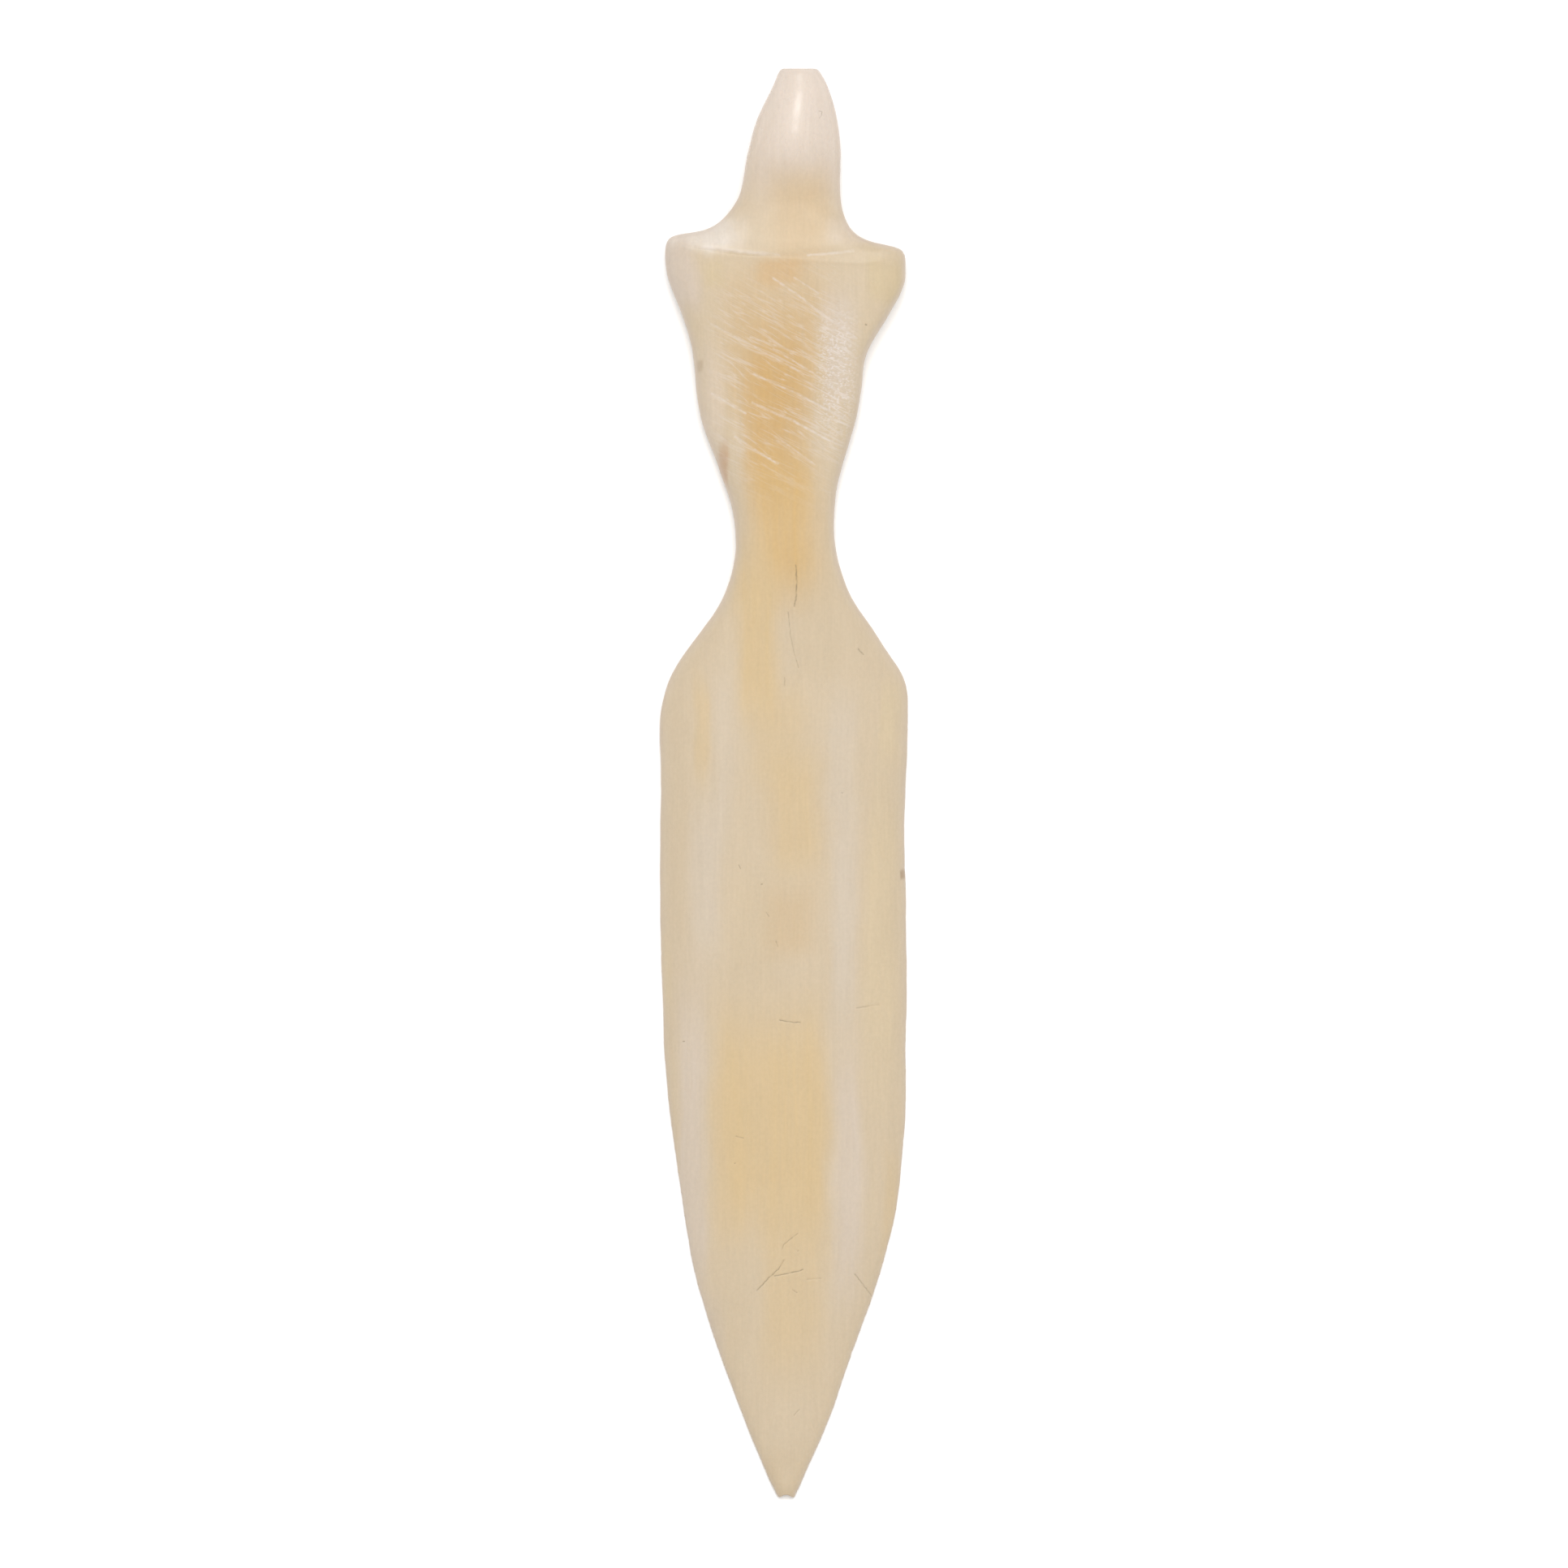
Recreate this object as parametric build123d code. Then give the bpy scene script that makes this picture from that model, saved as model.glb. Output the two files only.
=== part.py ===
from build123d import *
import math
import os
from dataclasses import dataclass, replace

# Bone folder: a paper-creasing tool cut in one piece from a plate of bone. It lies on its flat
# back: X runs across the blade, Y along the tool from the tip to the head, and Z out of the
# front face. The origin is at the middle of the tool's box, on the surface the back rests on.
# All sizes are millimetres.

# Lengths of the stretches, from the head down to the tip
HEAD_LENGTH = 15.5  # top of the head to the base of the neck
NECK_FLARE_LENGTH = 6.2  # base of the neck to the crest between the shoulders
TORSO_LENGTH = 31.7  # crest to the narrowest part of the waist
FLARE_LENGTH = 20.2  # waist to the full width of the blade
BLADE_LENGTH = 46.1  # the blade whose two edges run nearly parallel
POINT_LENGTH = 45.3  # full blade to the tip

# Widths where the stretches meet
HEAD_TOP_WIDTH = 4.6  # where the rounding of the rim begins
NECK_WIDTH = 12.2
SHOULDER_WIDTH = 27.0
WAIST_WIDTH = 11.4
BLADE_WIDTH = 28.4
POINT_ROOT_WIDTH = 27.3
TIP_WIDTH = 1.85  # where the rounding of the rim begins

# How far the middle of each of those widths leans towards +X, as the hand cut them
HEAD_TOP_LEAN = 1.76
NECK_LEAN = 0.49
SHOULDER_LEAN = -0.04
WAIST_LEAN = 0.09
BLADE_LEAN = 0.08
POINT_ROOT_LEAN = 0.39
TIP_LEAN = 0.26

# Heights of the front face above the back, along the middle
HEAD_TOP_HEIGHT = 6.7
HEAD_HEIGHT = 8.7
NECK_HEIGHT = 6.5
CREST_HEIGHT = 7.6
WAIST_HEIGHT = 6.3
BLADE_ROOT_HEIGHT = 5.0
BLADE_HEIGHT = 4.0
POINT_ROOT_HEIGHT = 3.4
TIP_HEIGHT = 1.5

# The underside of the head is rounded and stands clear of what the tool lies on
HEAD_TOP_CLEARANCE = 2.3
HEAD_CLEARANCE = 0.5
SANDING_DEPTH = 0.45  # how much the flat sanding takes off the back's soft underside

# Heights of the widest line of the sides above the back
HEAD_SIDE_HEIGHT = 4.5
NECK_SIDE_HEIGHT = 3.3
TORSO_SIDE_HEIGHT = 2.9
WAIST_SIDE_HEIGHT = 2.5
BLADE_ROOT_SIDE_HEIGHT = 1.3
BLADE_SIDE_HEIGHT = 0.75
TIP_SIDE_HEIGHT = 0.6

EDGE_BOW = 0.57  # how far the blade's left edge bows out between its two ends
SHOULDER_FALL = 4.6  # from the base of the neck down to the -X shoulder's corner
SHOULDER_TILT = 0.8  # how much lower the +X shoulder's corner is
HEAD_RIM_RADIUS = 0.45
TIP_RIM_RADIUS = 0.25
CHIP_WIDTH = 1.5  # the small chip out of the tip
CHIP_DEPTH = 0.42

# A corner is (crown, wall). A section's outline over its widest line is the curve
# across ** crown + up ** wall = 1, so 2 and 2 make an ellipse and higher numbers a fuller corner.
OVAL = (2.0, 2.0)
NECK_CORNER = (2.5, 2.3)
SOFT_SHOULDER = (5.0, 3.0)
CRISP_SHOULDER = (13.0, 4.5)
SOFT_WAIST = (4.0, 2.8)
CRISP_WAIST = (6.0, 3.2)
BLADE_CORNER = (5.0, 1.7)
POINT_CORNER = (4.0, 1.7)
TIP_CORNER = (3.0, 2.2)
FLAT_BACK = (14.0, 4.0)

RIM_FLANK = math.radians(25)  # slope of the sides where the rims at the two ends begin
RIM_STEPS = 3
POINTS_PER_CORNER = 8  # spans of the curve from a section's side to its middle
CORNER_STEPS = 600  # trial points among which those spans' ends are picked
WALL_TOP = 0.9  # share of a section's height up to which its corner counts as wall
LEAVING_PULL = 0.6  # how firmly a turned section sets off square to the tool's edge


@dataclass
class Form:
    """The shape of a section apart from its place: three heights and its corners."""

    front: float
    side: float
    back: float
    left: tuple
    right: tuple
    under: tuple

    def towards(self, other, share):
        """Return the form that lies a share of the way from this one to another."""

        def mix(a, b):
            if isinstance(a, tuple):
                return tuple(mix(p, q) for p, q in zip(a, b))
            return a + (b - a) * share

        return Form(*(mix(vars(self)[name], vars(other)[name]) for name in vars(self)))


@dataclass
class Station:
    """A section's place: its middle and its two ends in plan, and the form it has there."""

    left: tuple
    middle: tuple
    right: tuple
    form: Form
    turned: bool = False


HEAD_TOP_FORM = Form(HEAD_TOP_HEIGHT, HEAD_SIDE_HEIGHT, HEAD_TOP_CLEARANCE, OVAL, OVAL, OVAL)
HEAD_FORM = Form(HEAD_HEIGHT, HEAD_SIDE_HEIGHT, HEAD_CLEARANCE, OVAL, OVAL, OVAL)
NECK_FORM = Form(
    NECK_HEIGHT, NECK_SIDE_HEIGHT, -SANDING_DEPTH / 3, NECK_CORNER, NECK_CORNER, NECK_CORNER
)
CREST_FORM = Form(
    CREST_HEIGHT, TORSO_SIDE_HEIGHT, -SANDING_DEPTH, SOFT_SHOULDER, CRISP_SHOULDER, FLAT_BACK
)
WAIST_FORM = Form(
    WAIST_HEIGHT, WAIST_SIDE_HEIGHT, -SANDING_DEPTH, SOFT_WAIST, CRISP_WAIST, FLAT_BACK
)
BLADE_ROOT_FORM = Form(
    BLADE_ROOT_HEIGHT, BLADE_ROOT_SIDE_HEIGHT, -SANDING_DEPTH, BLADE_CORNER, BLADE_CORNER, FLAT_BACK
)
BLADE_FORM = Form(
    BLADE_HEIGHT, BLADE_SIDE_HEIGHT, -SANDING_DEPTH, BLADE_CORNER, BLADE_CORNER, FLAT_BACK
)
POINT_ROOT_FORM = Form(
    POINT_ROOT_HEIGHT, BLADE_SIDE_HEIGHT, -SANDING_DEPTH, POINT_CORNER, POINT_CORNER, FLAT_BACK
)
TIP_FORM = Form(TIP_HEIGHT, TIP_SIDE_HEIGHT, -SANDING_DEPTH, TIP_CORNER, TIP_CORNER, FLAT_BACK)


def ease(share):
    """Return a share that starts and ends gently."""
    return share * share * (3 - 2 * share)


def edges_at(width, lean):
    """Return the X of the left and right edges of a width."""
    return lean - width / 2, lean + width / 2


def stretch(top, length, upper, lower, rows, form_at):
    """Return the stations of a stretch whose edges run from one width to another.

    top is the Y of its upper end, upper and lower are the edges' X there and at its lower end,
    and rows gives (share of the length, share of the left edge's move, share of the right's).
    form_at turns the share of the length into the section's form.
    """
    stations = []
    for along, left_share, right_share in rows:
        y = top - length * along
        left = upper[0] + (lower[0] - upper[0]) * left_share
        right = upper[1] + (lower[1] - upper[1]) * right_share
        middle = ((left + right) / 2, y)
        stations.append(Station((left, y), middle, (right, y), form_at(along)))
    return stations


def rim_depth(radius):
    """Return how far a rim's rounding reaches along the tool from its very end."""
    return radius * (1 - math.sin(RIM_FLANK))


def rim(station, radius, away):
    """Return stations that round an end of the tool over, from a station to the very end.

    away is 1 at the head and -1 at the tip. The rounding leaves the flanks at their own slope.
    """
    stations = []
    for step in range(1, RIM_STEPS + 1):
        heading = RIM_FLANK + (math.pi / 2 - RIM_FLANK) * step / RIM_STEPS
        inset = radius * (math.cos(RIM_FLANK) - math.cos(heading))
        y = station.middle[1] + away * radius * (math.sin(heading) - math.sin(RIM_FLANK))
        form = replace(
            station.form, front=station.form.front - inset, back=station.form.back + inset
        )
        left, right = (station.left[0] + inset, y), (station.right[0] - inset, y)
        stations.append(Station(left, (station.middle[0], y), right, form))
    return stations


# Heights along the tool, with the tip at 0
BLADE_END = POINT_LENGTH
BLADE_START = BLADE_END + BLADE_LENGTH
WAIST_Y = BLADE_START + FLARE_LENGTH
CREST_Y = WAIST_Y + TORSO_LENGTH
NECK_Y = CREST_Y + NECK_FLARE_LENGTH
TOP_Y = NECK_Y + HEAD_LENGTH

HEAD_TOP_EDGES = edges_at(HEAD_TOP_WIDTH, HEAD_TOP_LEAN)
NECK_EDGES = edges_at(NECK_WIDTH, NECK_LEAN)
SHOULDER_EDGES = edges_at(SHOULDER_WIDTH, SHOULDER_LEAN)
WAIST_EDGES = edges_at(WAIST_WIDTH, WAIST_LEAN)
BLADE_EDGES = edges_at(BLADE_WIDTH, BLADE_LEAN)
POINT_ROOT_EDGES = edges_at(POINT_ROOT_WIDTH, POINT_ROOT_LEAN)
TIP_EDGES = edges_at(TIP_WIDTH, TIP_LEAN)


def head():
    """Return the stations of the blunt bullet-shaped head, down to the base of the neck."""
    fullest = 0.5  # share of the way down at which the head is thickest

    def form_at(along):
        if along < fullest:
            return HEAD_TOP_FORM.towards(HEAD_FORM, math.sin(along / fullest * math.pi / 2))
        return HEAD_FORM.towards(NECK_FORM, ease((along - fullest) / (1 - fullest)))

    rows = [
        (rim_depth(HEAD_RIM_RADIUS) / HEAD_LENGTH, 0.0, 0.0),
        (0.07, 0.075, 0.21),
        (0.166, 0.205, 0.47),
        (0.275, 0.365, 0.685),
        (0.42, 0.555, 0.865),
        (0.565, 0.67, 0.98),
        (0.71, 0.765, 1.0),
        (0.855, 0.84, 0.955),
    ]
    stations = stretch(TOP_Y, HEAD_LENGTH, HEAD_TOP_EDGES, NECK_EDGES, rows, form_at)
    return rim(stations[0], HEAD_RIM_RADIUS, 1)[::-1] + stations


def shoulders():
    """Return the stations that sweep out along the tops of the shoulders, down to the crest.

    The scoop at the front of the neck climbs to the crest ever more steeply, so the crest is
    an edge. Each row is the share of the way down for the middle, then for each side the share
    out to the shoulder and the share down to it.
    """
    rows = [
        (0.0, (0.0, 0.0), (0.0, 0.0)),
        (0.20, (0.117, 0.29), (0.037, 0.226)),
        (0.39, (0.236, 0.49), (0.095, 0.409)),
        (0.57, (0.403, 0.65), (0.171, 0.565)),
        (0.73, (0.606, 0.74), (0.33, 0.73)),
        (0.86, (0.809, 0.79), (0.565, 0.847)),
        (0.95, (0.94, 0.87), (0.827, 0.922)),
        (1.0, (1.0, 1.0), (1.0, 1.0)),
    ]
    drops = (SHOULDER_FALL, SHOULDER_FALL + SHOULDER_TILT)
    neck_middle = sum(NECK_EDGES) / 2
    shoulder_middle = sum(SHOULDER_EDGES) / 2
    stations = []
    for down, *sides in rows:
        ends = []
        for (out, fall), start, end, depth in zip(sides, NECK_EDGES, SHOULDER_EDGES, drops):
            ends.append((start + (end - start) * out, NECK_Y - depth * fall))
        middle_x = neck_middle + (shoulder_middle - neck_middle) * down
        form = NECK_FORM.towards(CREST_FORM, down)
        form.front = NECK_HEIGHT + (CREST_HEIGHT - NECK_HEIGHT) * down**3
        middle = (middle_x, NECK_Y - NECK_FLARE_LENGTH * down)
        stations.append(Station(ends[0], middle, ends[1], form, turned=True))
    return stations


def torso():
    """Return the stations of the flat-fronted torso, from under the crest to the waist."""

    def form_at(along):
        return CREST_FORM.towards(WAIST_FORM, ease(along))

    rows = [
        (0.034, -0.01, -0.07),
        (0.08, 0.02, -0.07),
        (0.14, 0.11, 0.015),
        (0.215, 0.235, 0.185),
        (0.29, 0.33, 0.38),
        (0.36, 0.385, 0.525),
        (0.43, 0.415, 0.57),
        (0.505, 0.44, 0.605),
        (0.575, 0.49, 0.655),
        (0.645, 0.57, 0.73),
        (0.725, 0.70, 0.835),
        (0.82, 0.83, 0.94),
        (0.91, 0.95, 0.995),
    ]
    return stretch(CREST_Y, TORSO_LENGTH, SHOULDER_EDGES, WAIST_EDGES, rows, form_at)


def flare():
    """Return the stations from the waist out to the full width of the blade."""

    def form_at(along):
        return WAIST_FORM.towards(BLADE_ROOT_FORM, ease(along))

    rows = [
        (0.0, 0.0, 0.0),
        (0.111, -0.005, 0.025),
        (0.222, 0.04, 0.09),
        (0.333, 0.12, 0.185),
        (0.444, 0.25, 0.33),
        (0.556, 0.435, 0.52),
        (0.667, 0.635, 0.69),
        (0.778, 0.81, 0.87),
        (0.889, 0.93, 0.98),
    ]
    return stretch(WAIST_Y, FLARE_LENGTH, WAIST_EDGES, BLADE_EDGES, rows, form_at)


def blade():
    """Return the stations of the blade, whose left edge bows out and whose right one wavers.

    Each row is the share of the length, then for each edge the share of the bow outwards.
    """

    def form_at(along):
        if along < 0.5:
            return BLADE_ROOT_FORM.towards(BLADE_FORM, ease(along * 2))
        return BLADE_FORM.towards(POINT_ROOT_FORM, ease(along * 2 - 1))

    bows = [
        (0.0, 0.0, 0.0),
        (0.14, 0.35, -0.18),
        (0.28, 0.60, -0.58),
        (0.43, 0.92, -0.31),
        (0.58, 1.0, -0.07),
        (0.73, 0.90, 0.14),
        (0.86, 0.69, -0.09),
    ]
    rows = [(along, along, along) for along, *_ in bows]
    stations = stretch(BLADE_START, BLADE_LENGTH, BLADE_EDGES, POINT_ROOT_EDGES, rows, form_at)
    for station, (_, left_bow, right_bow) in zip(stations, bows):
        station.left = (station.left[0] - left_bow * EDGE_BOW, station.left[1])
        station.right = (station.right[0] + right_bow * EDGE_BOW, station.right[1])
    return stations


def point():
    """Return the stations of the long taper to the tip."""

    def form_at(along):
        return POINT_ROOT_FORM.towards(TIP_FORM, along)

    rows = [
        (0.0, 0.0, 0.0),
        (0.125, 0.062, 0.031),
        (0.25, 0.128, 0.08),
        (0.35, 0.183, 0.157),
        (0.45, 0.262, 0.26),
        (0.55, 0.368, 0.381),
        (0.65, 0.492, 0.509),
        (0.75, 0.626, 0.628),
        (0.85, 0.765, 0.765),
        (0.925, 0.88, 0.888),
        (1 - rim_depth(TIP_RIM_RADIUS) / POINT_LENGTH, 1.0, 1.0),
    ]
    stations = stretch(BLADE_END, POINT_LENGTH, POINT_ROOT_EDGES, TIP_EDGES, rows, form_at)
    return stations + rim(stations[-1], TIP_RIM_RADIUS, -1)


def corner_points(corner, width, height):
    """Return (across, up) points of a quarter section, from its side to its middle.

    They are spread evenly by the distance run and the angle turned, so that a tight corner
    gets as many as a long flat.
    """
    crown, wall = corner
    turn_over = (1 - WALL_TOP**wall) ** (1 / crown)
    dense = []
    for step in range(CORNER_STEPS + 1):
        share = step / CORNER_STEPS
        # half of the steps climb the wall evenly, the other half cross the crown evenly
        if share < 0.5:
            up = WALL_TOP * share * 2
            across = (1 - up**wall) ** (1 / crown)
        else:
            across = turn_over * (2 - share * 2)
            up = (1 - across**crown) ** (1 / wall)
        dense.append((across, up))
    run = [0.0]
    turned = [0.0]
    heading = math.pi / 2
    for (x0, z0), (x1, z1) in zip(dense, dense[1:]):
        dx, dz = (x0 - x1) * width, (z1 - z0) * height
        run.append(run[-1] + math.hypot(dx, dz))
        new_heading = math.atan2(dz, dx)
        turned.append(turned[-1] + abs(heading - new_heading))
        heading = new_heading
    progress = [r / run[-1] + t / turned[-1] for r, t in zip(run, turned)]
    points = []
    for index in range(POINTS_PER_CORNER + 1):
        target = 2 * index / POINTS_PER_CORNER
        nearest = min(range(CORNER_STEPS + 1), key=lambda k: abs(progress[k] - target))
        points.append(dense[nearest])
    points[0], points[-1] = (1.0, 0.0), (0.0, 1.0)
    return points


def plan_curve(middle, end, outward):
    """Return a function that walks in plan from a section's middle (0) to its end (1).

    outward is the direction in which the section leaves the edge of the tool.
    """
    start, stop = Vector(*middle), Vector(*end)
    reach = abs(stop.X - start.X)
    rise = abs(stop.Y - start.Y)
    side = math.copysign(1, stop.X - start.X)
    leave = reach / 3 * abs(outward.X) + LEAVING_PULL * rise * abs(outward.Y)
    first = start + Vector(side * reach / 3, 0)
    second = stop - outward * leave

    def walk(share):
        rest = 1 - share
        return (
            start * rest**3
            + first * (3 * rest * rest * share)
            + second * (3 * rest * share * share)
            + stop * share**3
        )

    return walk


def outward_direction(ends, index, side, turned):
    """Return the plan direction that leaves the tool at an end, square to its edge if turned."""
    if not turned:
        return Vector(side, 0)
    before, after = ends[index - 1], ends[index + 1]
    along = Vector(after[0] - before[0], after[1] - before[1])
    square = Vector(-along.Y, along.X) * side
    return square.normalized()


def section_wire(station, left_out, right_out):
    """Return the closed wire of one section: its front curve and its back curve."""
    form = station.form
    to_left = plan_curve(station.middle, station.left, left_out)
    to_right = plan_curve(station.middle, station.right, right_out)
    half_width = (station.right[0] - station.left[0]) / 2

    def quarter(corner, walk, extent):
        points = []
        for across, up in corner_points(corner, half_width, abs(extent)):
            place = walk(across)
            points.append(Vector(place.X, place.Y, form.side + extent * up))
        return points

    rise = form.front - form.side
    fall = form.back - form.side
    front = quarter(form.right, to_right, rise)
    front += quarter(form.left, to_left, rise)[-2::-1]
    under = quarter(form.under, to_left, fall)
    under += quarter(form.under, to_right, fall)[-2::-1]
    up, down = Vector(0, 0, 1), Vector(0, 0, -1)
    steady = (1.0, 1.0)
    return Wire(
        [
            Spline(*front, tangents=(up, down), tangent_scalars=steady),
            Spline(*under, tangents=(down, up), tangent_scalars=steady),
        ]
    )


def carved_solid():
    """Return the skin through every section, closed at the head's top and at the tip."""
    stations = head() + shoulders() + torso() + flare() + blade() + point()
    left_ends = [station.left for station in stations]
    right_ends = [station.right for station in stations]
    wires = []
    for index, station in enumerate(stations):
        left_out = outward_direction(left_ends, index, -1, station.turned)
        right_out = outward_direction(right_ends, index, 1, station.turned)
        wires.append(section_wire(station, left_out, right_out))
    return Solid.make_loft(wires)


def chip():
    """Return the round tool that breaks the chip out of the tip."""
    radius = (CHIP_WIDTH**2 / 4 + CHIP_DEPTH**2) / (2 * CHIP_DEPTH)
    middle = Vector(TIP_LEAN, CHIP_DEPTH - radius)
    return Pos(middle.X, middle.Y) * Cylinder(radius, 4 * TIP_HEIGHT)


def bone_folder():
    """Return the whole tool, sanded flat on its back and centred on its own box."""
    tool = carved_solid()
    tool = split(tool, bisect_by=Plane.XY, keep=Keep.TOP)
    tool -= chip()
    box = tool.bounding_box()
    tool = Pos(-box.center().X, -box.center().Y, -box.min.Z) * tool
    return tool


tool = bone_folder()
tool.label = "bone_folder"
os.makedirs("parts", exist_ok=True)
export_step(tool, "parts/bone_folder.step")
box = tool.bounding_box()
print("size", round(box.size.X, 2), round(box.size.Y, 2), round(box.size.Z, 2))
print("valid", tool.is_valid)
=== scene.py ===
"""The looks of a carved bone folder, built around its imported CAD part.

The tool is one piece of bone. Its CAD skin is copied, remeshed evenly and worked over in geometry:
the slight waviness of hand carving, the strokes of the file, the drying cracks and the nicks of the
edges. It is then dressed in a procedural bone finish. Places on the tool are millimetres in the
part's own frame: X across, Y from the tip to the head, Z out of the front face.
"""

import logging
import math
from dataclasses import dataclass, replace
from enum import Enum

import bmesh
import bpy
import numpy as np
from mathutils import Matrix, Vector, noise
from mathutils.bvhtree import BVHTree


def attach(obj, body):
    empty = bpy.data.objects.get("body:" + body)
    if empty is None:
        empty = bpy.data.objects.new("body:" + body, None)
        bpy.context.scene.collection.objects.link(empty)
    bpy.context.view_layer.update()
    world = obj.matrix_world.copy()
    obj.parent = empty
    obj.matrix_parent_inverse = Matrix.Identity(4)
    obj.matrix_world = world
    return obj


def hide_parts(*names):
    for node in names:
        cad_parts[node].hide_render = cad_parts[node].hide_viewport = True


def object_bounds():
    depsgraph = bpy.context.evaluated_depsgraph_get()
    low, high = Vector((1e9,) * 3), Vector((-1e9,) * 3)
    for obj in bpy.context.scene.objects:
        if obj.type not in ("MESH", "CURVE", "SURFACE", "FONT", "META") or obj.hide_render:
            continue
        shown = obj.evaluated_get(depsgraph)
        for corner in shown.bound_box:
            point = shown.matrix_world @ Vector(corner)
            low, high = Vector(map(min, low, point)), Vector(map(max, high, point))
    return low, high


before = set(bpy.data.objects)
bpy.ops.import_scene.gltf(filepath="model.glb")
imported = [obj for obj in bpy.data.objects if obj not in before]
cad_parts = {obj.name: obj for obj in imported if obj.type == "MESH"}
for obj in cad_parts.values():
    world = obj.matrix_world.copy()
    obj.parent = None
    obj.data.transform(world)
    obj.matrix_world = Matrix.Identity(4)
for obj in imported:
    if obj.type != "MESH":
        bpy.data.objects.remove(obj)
CAD_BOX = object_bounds()

log = logging.getLogger("bone_folder")

MM = 0.001  # metres in a millimetre
ORIGIN = (0.0, 0.0, 0.0)
IN_PLAN = (1.0, 1.0, 0.0)  # keeps a vector's X and Y and drops its Z
SEED_SHIFT = 17.3  # swells between the noise of one seed and that of the next

Point = tuple[float, float]
Colour = tuple[float, float, float, float]
Socket = bpy.types.NodeSocket
Input = Socket | float | tuple[float, ...]  # what can feed a node: a socket or a constant


class Tone(Enum):
    """The colours of the bone, as six hexadecimal digits; a few of them also paint light and shade."""

    BASE = "D9C6AA"
    # also painted light on the top slope of the left shoulder
    CHALK = "F1E8DF"
    CREAM = "E8D8CA"
    WARM_NECK = "DBC19C"
    DEEP_ORANGE = "D8B383"
    # painted reflection: the pale pinkish-cream band on the rounded left shoulder
    PAINTED_SHOULDER_REFLECTION = "DBCBBB"
    OLIVE = "D7C39E"
    TAN = "D5B88E"
    AMBER = "D4AE75"
    HONEY = "D9B57A"
    STRAW = "DCC194"
    PALE_YELLOW = "DFCBA8"
    BAND = "D9CCBC"
    LILAC = "DBCEC4"
    BISCUIT = "D5C1A2"
    REDDISH_BROWN = "C79F7E"
    TIP = "D2BEA0"
    # the edges' own darker colour, and painted shade on the sides that turn from the lamps
    EDGE_COLOUR_AND_SHADE = "CDB095"
    # the pale tone of filed and sanded work, and of the painted highlight along the crest
    FILED_AND_HIGHLIGHT = "ECE1D8"
    CRACK = "8C8068"
    STAIN = "9A7A58"

    def albedo(self, light: float, sheen: float) -> Colour:
        """Return the albedo that looks like this colour on the white table.

        Args:
            light: how bright a white surface is there.
            sheen: what the skin's own reflection adds.

        Returns:
            Red, green, blue and alpha, as a shader socket takes them.
        """
        levels = [int(self.value[start : start + 2], 16) / 255 for start in (0, 2, 4)]
        seen = [v / 12.92 if v <= 0.04045 else ((v + 0.055) / 1.055) ** 2.4 for v in levels]  # sRGB's curve
        red, green, blue = (max(value - sheen, 0.0) / light for value in seen)
        return (red, green, blue, 1.0)


class Swells(Enum):
    """The noises in the bone: the size of their swells along X, Y and Z in mm, and their detail."""

    DRIFT = (7.0, 24.0, 7.0, 3.0)  # of the zones' outlines
    STREAK = (0.9, 26.0, 2.5, 3.0)
    FIBRE = (0.28, 5.0, 0.8, 2.0)
    MOTTLE = (0.34, 0.45, 0.4, 2.0)
    CLOUD = (3.5, 8.0, 4.0, 3.0)
    POWDER = (0.34, 0.24, 1.0, 3.0)
    SHIVER = (0.5, 0.5, 0.5, 2.0)  # of the thin lines
    BREAKS = (0.9, 0.5, 9.0, 3.0)  # in the thin lines
    RAISED_FIBRE = (0.22, 4.0, 0.6, 3.0)
    SKIN = (0.5, 0.9, 0.6, 3.0)
    HANDLING = (2.5, 6.0, 3.0, 3.0)


@dataclass(frozen=True)
class Patch:
    """A soft-edged place on the tool in plan, in millimetres."""

    middle: Point
    reach: Point  # half its width and half its length
    plateau: float  # share of the half width that is full


@dataclass(frozen=True)
class Zone:
    """A soft-edged patch of colour, seen from the front, in millimetres: mostly the bone's own colour, on
    the left shoulder painted light.
    """

    name: str
    across: float  # X of its middle
    along: float  # Y of its middle
    half_width: float
    half_length: float
    tone: Tone
    strength: float
    plateau: float = 0.25  # share of the half width that keeps its full strength

    def patch(self) -> Patch:
        """Return where the zone lies."""
        return Patch((self.across, self.along), (self.half_width, self.half_length), self.plateau)


@dataclass(frozen=True)
class Mark:
    """A thin line in the front face. Most are drying cracks, scratches and single strokes of the file; two
    along the crest are a painted highlight.
    """

    name: str
    path: tuple[Point, ...]
    width: float = 0.13  # mm from its middle to where it ends
    depth: float = 0.06  # mm
    strength: float = 0.6  # how much of its colour shows

    def segments(self) -> list[tuple[Point, Point]]:
        """Return the straight pieces of the line."""
        return list(zip(self.path, self.path[1:]))


@dataclass(frozen=True)
class StrokeSet:
    """A family of fine parallel strokes that a file or a sanding stone leaves."""

    degrees: float  # how far the strokes are turned from the X axis, clockwise
    pitch: float  # mm from stroke to stroke
    length: float  # mm
    sparseness: float  # the higher, the fewer strokes


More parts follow.
